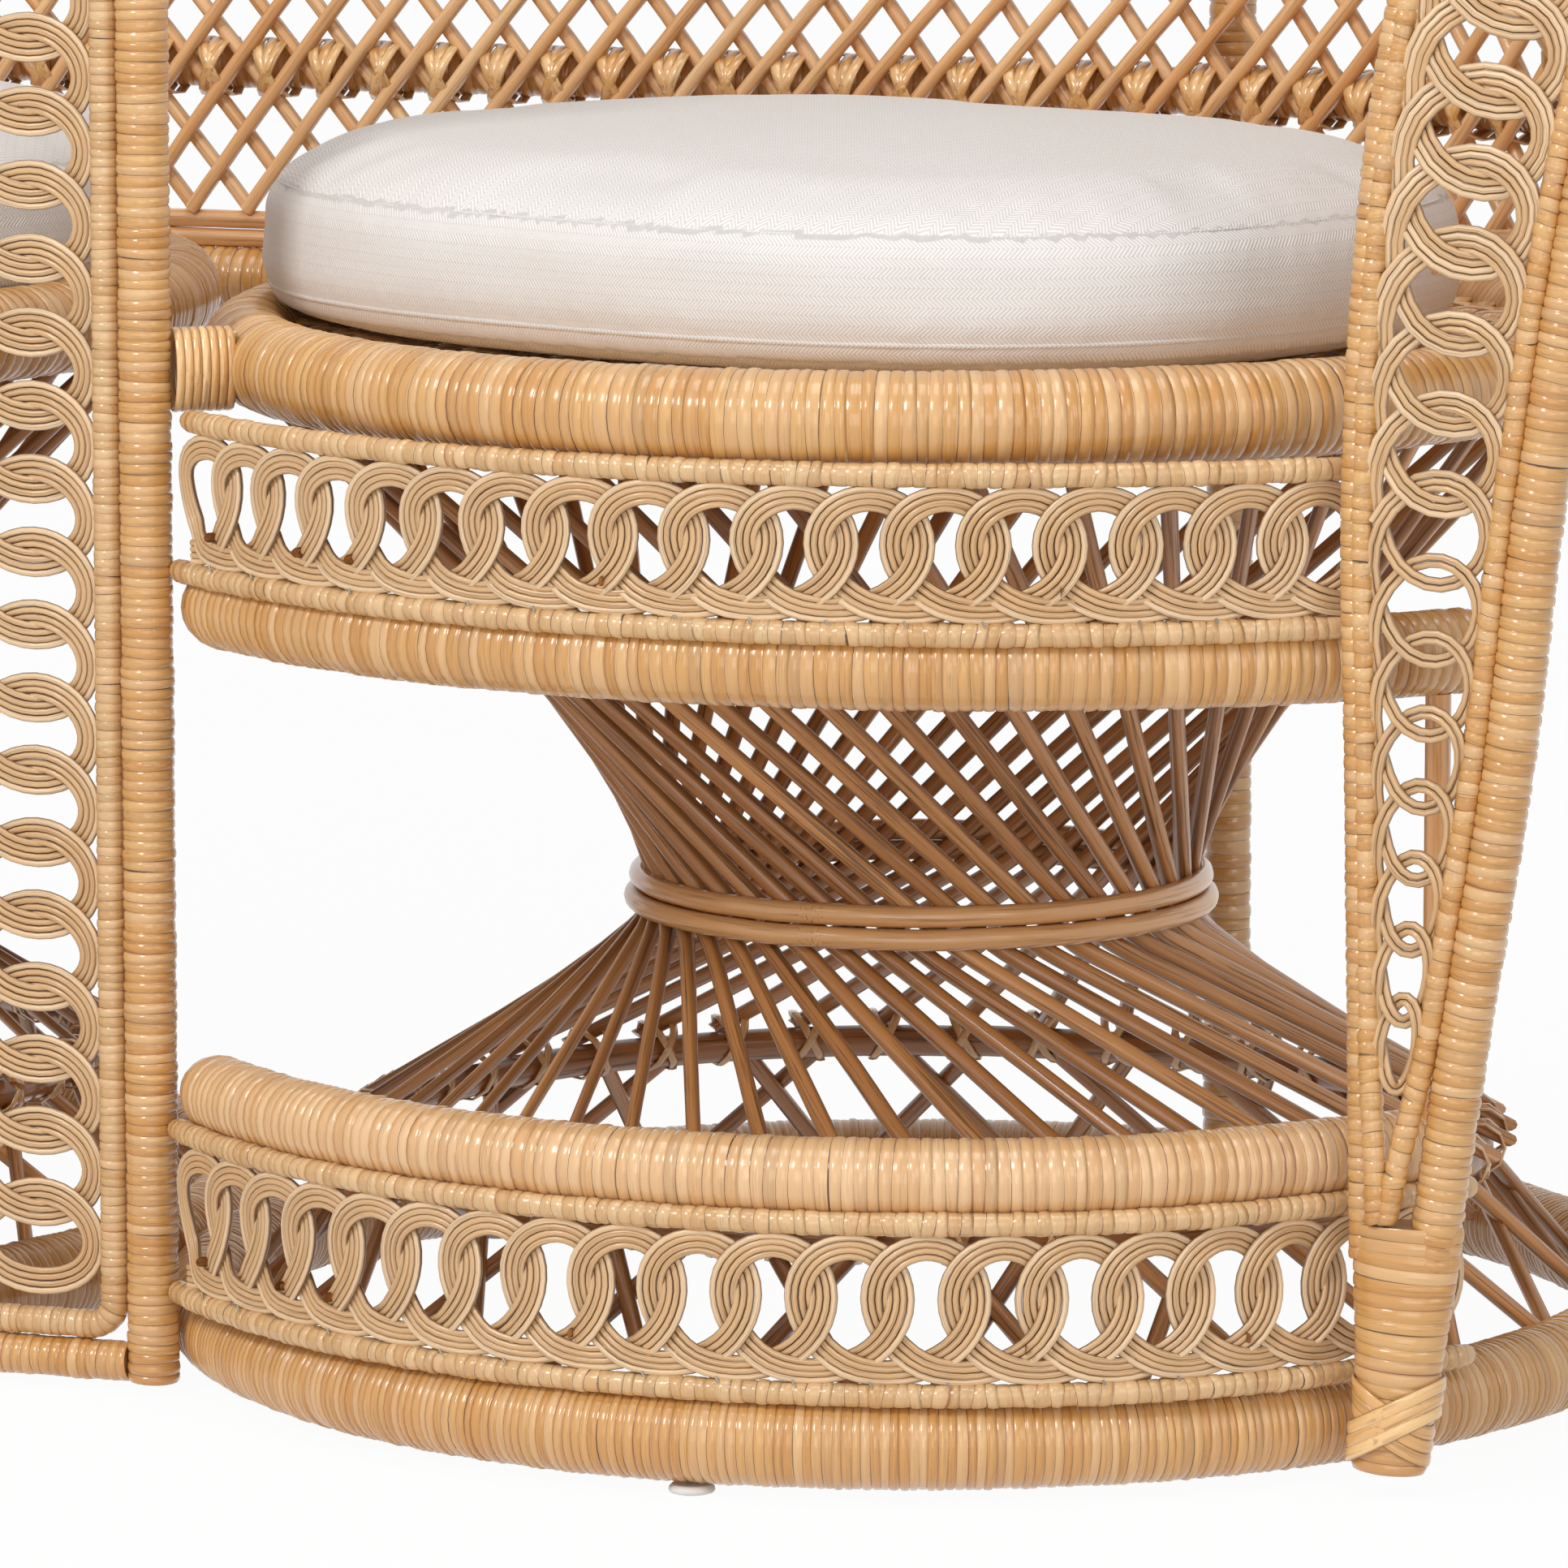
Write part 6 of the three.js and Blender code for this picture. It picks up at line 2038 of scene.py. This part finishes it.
    def seam_reach(self, cover: bpy.types.Object, level: float, angles: np.ndarray) -> np.ndarray:
        """How far out the cover lies at a height, in each direction.

        Args:
            cover: The finished cover.
            level: Height over the cushion's underside.
            angles: Evenly spaced directions of a whole turn.

        Returns:
            Radii, smoothed over neighbours.
        """
        x, y, z, angle, _ = self.polar(cover.data)
        near = np.abs(z - level) < 3 * MM
        radius = np.hypot(x, y)[near]
        step = angles[1] - angles[0]
        slot = np.round(np.mod(angle[near], 2 * math.pi) / step).astype(int) % len(angles)
        share = self.reach(angles)
        found = np.array([np.median(radius[slot == i] / share[i]) if (slot == i).any() else np.nan
                          for i in range(len(angles))])
        found = np.where(np.isnan(found), np.nanmedian(found), found)
        soft = sum(np.roll(found, k) for k in range(-3, 4)) / 7
        return soft * share

    def piping(self, shop: Workshop, cover: bpy.types.Object, body: str) -> None:
        """Makes the stitched cord along both seams, half sunk in the cover."""
        lines = []
        thick = max(self.cords)
        for seam, width in zip(self.seams, self.cords):
            a = turns(200)
            r = self.seam_reach(cover, seam, a) - 0.25 * width
            points = self.placed(r * np.sin(a), -r * np.cos(a), seam)
            arm = (points - np.array(self.centre)) * np.array([1, 1, 0])
            lines.append(Line(points, unit(arm), closed=True, girth=np.full(len(a), width / thick)))
        piece = shop.cane.run("cushion_piping" + self.side.tail, lines, Width=thick, Thickness=thick,
                              Spacing=0.0, Strands=1, Sides=8, Wander=0.0, Finish=shop.finish.cotton)
        self.lay_cloth(piece.data, False)
        shop.keep(piece, Slot.COTTON, [], body)


# Studio


@dataclass(frozen=True)
class Lamp:
    """A square soft lamp that looks at the seats.

    Args:
        name: Its name.
        place: Where it hangs.
        size: Length of its edge, in metres.
        power: In watts.
    """

    name: str
    place: tuple[float, float, float]
    size: float
    power: float

    def build(self) -> None:
        """Adds the lamp."""
        data = bpy.data.lights.new(self.name, "AREA")
        data.shape = "SQUARE"
        data.size = self.size
        data.energy = self.power
        made = linked(self.name, data)
        made.location = self.place
        aim = Vector((0.15, 0.0, 0.4)) - Vector(self.place)
        made.rotation_euler = aim.to_track_quat("-Z", "Y").to_euler()


@dataclass
class Studio:
    """Pale floor, soft light and the photograph's camera.

    Args:
        axis: The right seat's axis, which the camera's place is measured from.
    """

    axis: SeatAxis
    distance: float = 3670 * MM
    azimuth: float = math.radians(19)
    turn: float = math.radians(0.773)
    height: float = 753 * MM
    pitch: float = math.radians(8.496)
    lens: float = 236.6
    floor_reach: float = 30.0
    floor_z: float = -0.5 * MM
    floor_glow: float = 0.96
    world_light: float = 0.3
    lamps: tuple[Lamp, ...] = (
        Lamp("key", (-0.8, -2.6, 2.3), 0.8, 43.0), Lamp("front", (1.1, -3.3, 0.6), 2.0, 23.0),
        Lamp("side", (2.8, -1.6, 1.5), 1.4, 14.0), Lamp("top", (0.3, -0.5, 3.2), 1.6, 28.0),
    )

    def camera(self) -> None:
        """Adds the camera."""
        data = bpy.data.cameras.new("camera")
        data.lens = self.lens
        data.sensor_width = 36.0
        data.clip_end = 60.0
        made = linked("camera", data)
        made.location = (self.axis.x + self.distance * math.sin(self.azimuth),
                         self.axis.y - self.distance * math.cos(self.azimuth), self.height)
        made.rotation_euler = (math.pi / 2 - self.pitch, 0.0, self.azimuth + self.turn)
        bpy.context.scene.camera = made

    def stage(self) -> None:
        """Adds the floor, which keeps the chair's shadow, and the world."""
        mesh = bpy.data.meshes.new("floor")
        corners = ((-1, -1), (1, -1), (1, 1), (-1, 1))
        mesh.from_pydata([(x * self.floor_reach, y * self.floor_reach, self.floor_z) for x, y in corners], [],
                         [(0, 1, 2, 3)])
        floor = linked("floor", mesh)
        material, w, shader = fresh_material("studio floor")
        shader.inputs["Base Color"].default_value = (0.9, 0.9, 0.9, 1.0)
        shader.inputs["Roughness"].default_value = 0.9
        glow = w.add("ShaderNodeEmission")
        path = w.add("ShaderNodeLightPath")
        seen = w.sums("MAXIMUM", path.outputs["Is Camera Ray"], path.outputs["Is Glossy Ray"])
        mix = w.add("ShaderNodeMixShader")
        w.put(mix.inputs[0], w.times(seen, self.floor_glow))
        w.put(mix.inputs[1], shader.outputs[0])
        w.put(mix.inputs[2], glow.outputs[0])
        w.put(material.node_tree.nodes["Material Output"].inputs["Surface"], mix.outputs[0])
        mesh.materials.append(material)
        self.world()

    def world(self) -> None:
        """Sets the world: white behind the chair, softer as light."""
        world = bpy.data.worlds.new("studio")
        bpy.context.scene.world = world
        world.use_nodes = True
        w = Wiring(world.node_tree)
        back = world.node_tree.nodes["Background"]
        path = w.add("ShaderNodeLightPath")
        seen = w.sums("MAXIMUM", path.outputs["Is Camera Ray"], path.outputs["Is Transmission Ray"])
        seen = w.sums("MAXIMUM", seen, path.outputs["Is Glossy Ray"])
        w.put(back.inputs["Strength"], w.ramp(seen, 0.0, 1.0, self.world_light, 1.0))
        back.inputs["Color"].default_value = (1.0, 1.0, 1.0, 1.0)

    def build(self) -> None:
        """Sets up the whole studio."""
        self.camera()
        self.stage()
        for lamp in self.lamps:
            lamp.build()
        bpy.context.scene.view_settings.view_transform = "Standard"


def main() -> None:
    """Builds the chair and its studio."""
    logging.basicConfig(level=logging.INFO, format="%(message)s")
    shop = Workshop()
    seat = Seat()
    path = BorderPath(seat.axis.y)
    on_both(lambda side: seat.build(shop, side))
    Border(path).build(shop)
    Shell(seat.axis, path).build(shop)
    MiddlePanel().build(shop)
    on_both(lambda side: rear_stay(shop, side))
    for side in Side:
        Cushion(side).build(shop)
    Studio(seat.axis).build()
    LOG.info("%d pieces", len(shop.made))


if __name__ == "__main__":
    main()
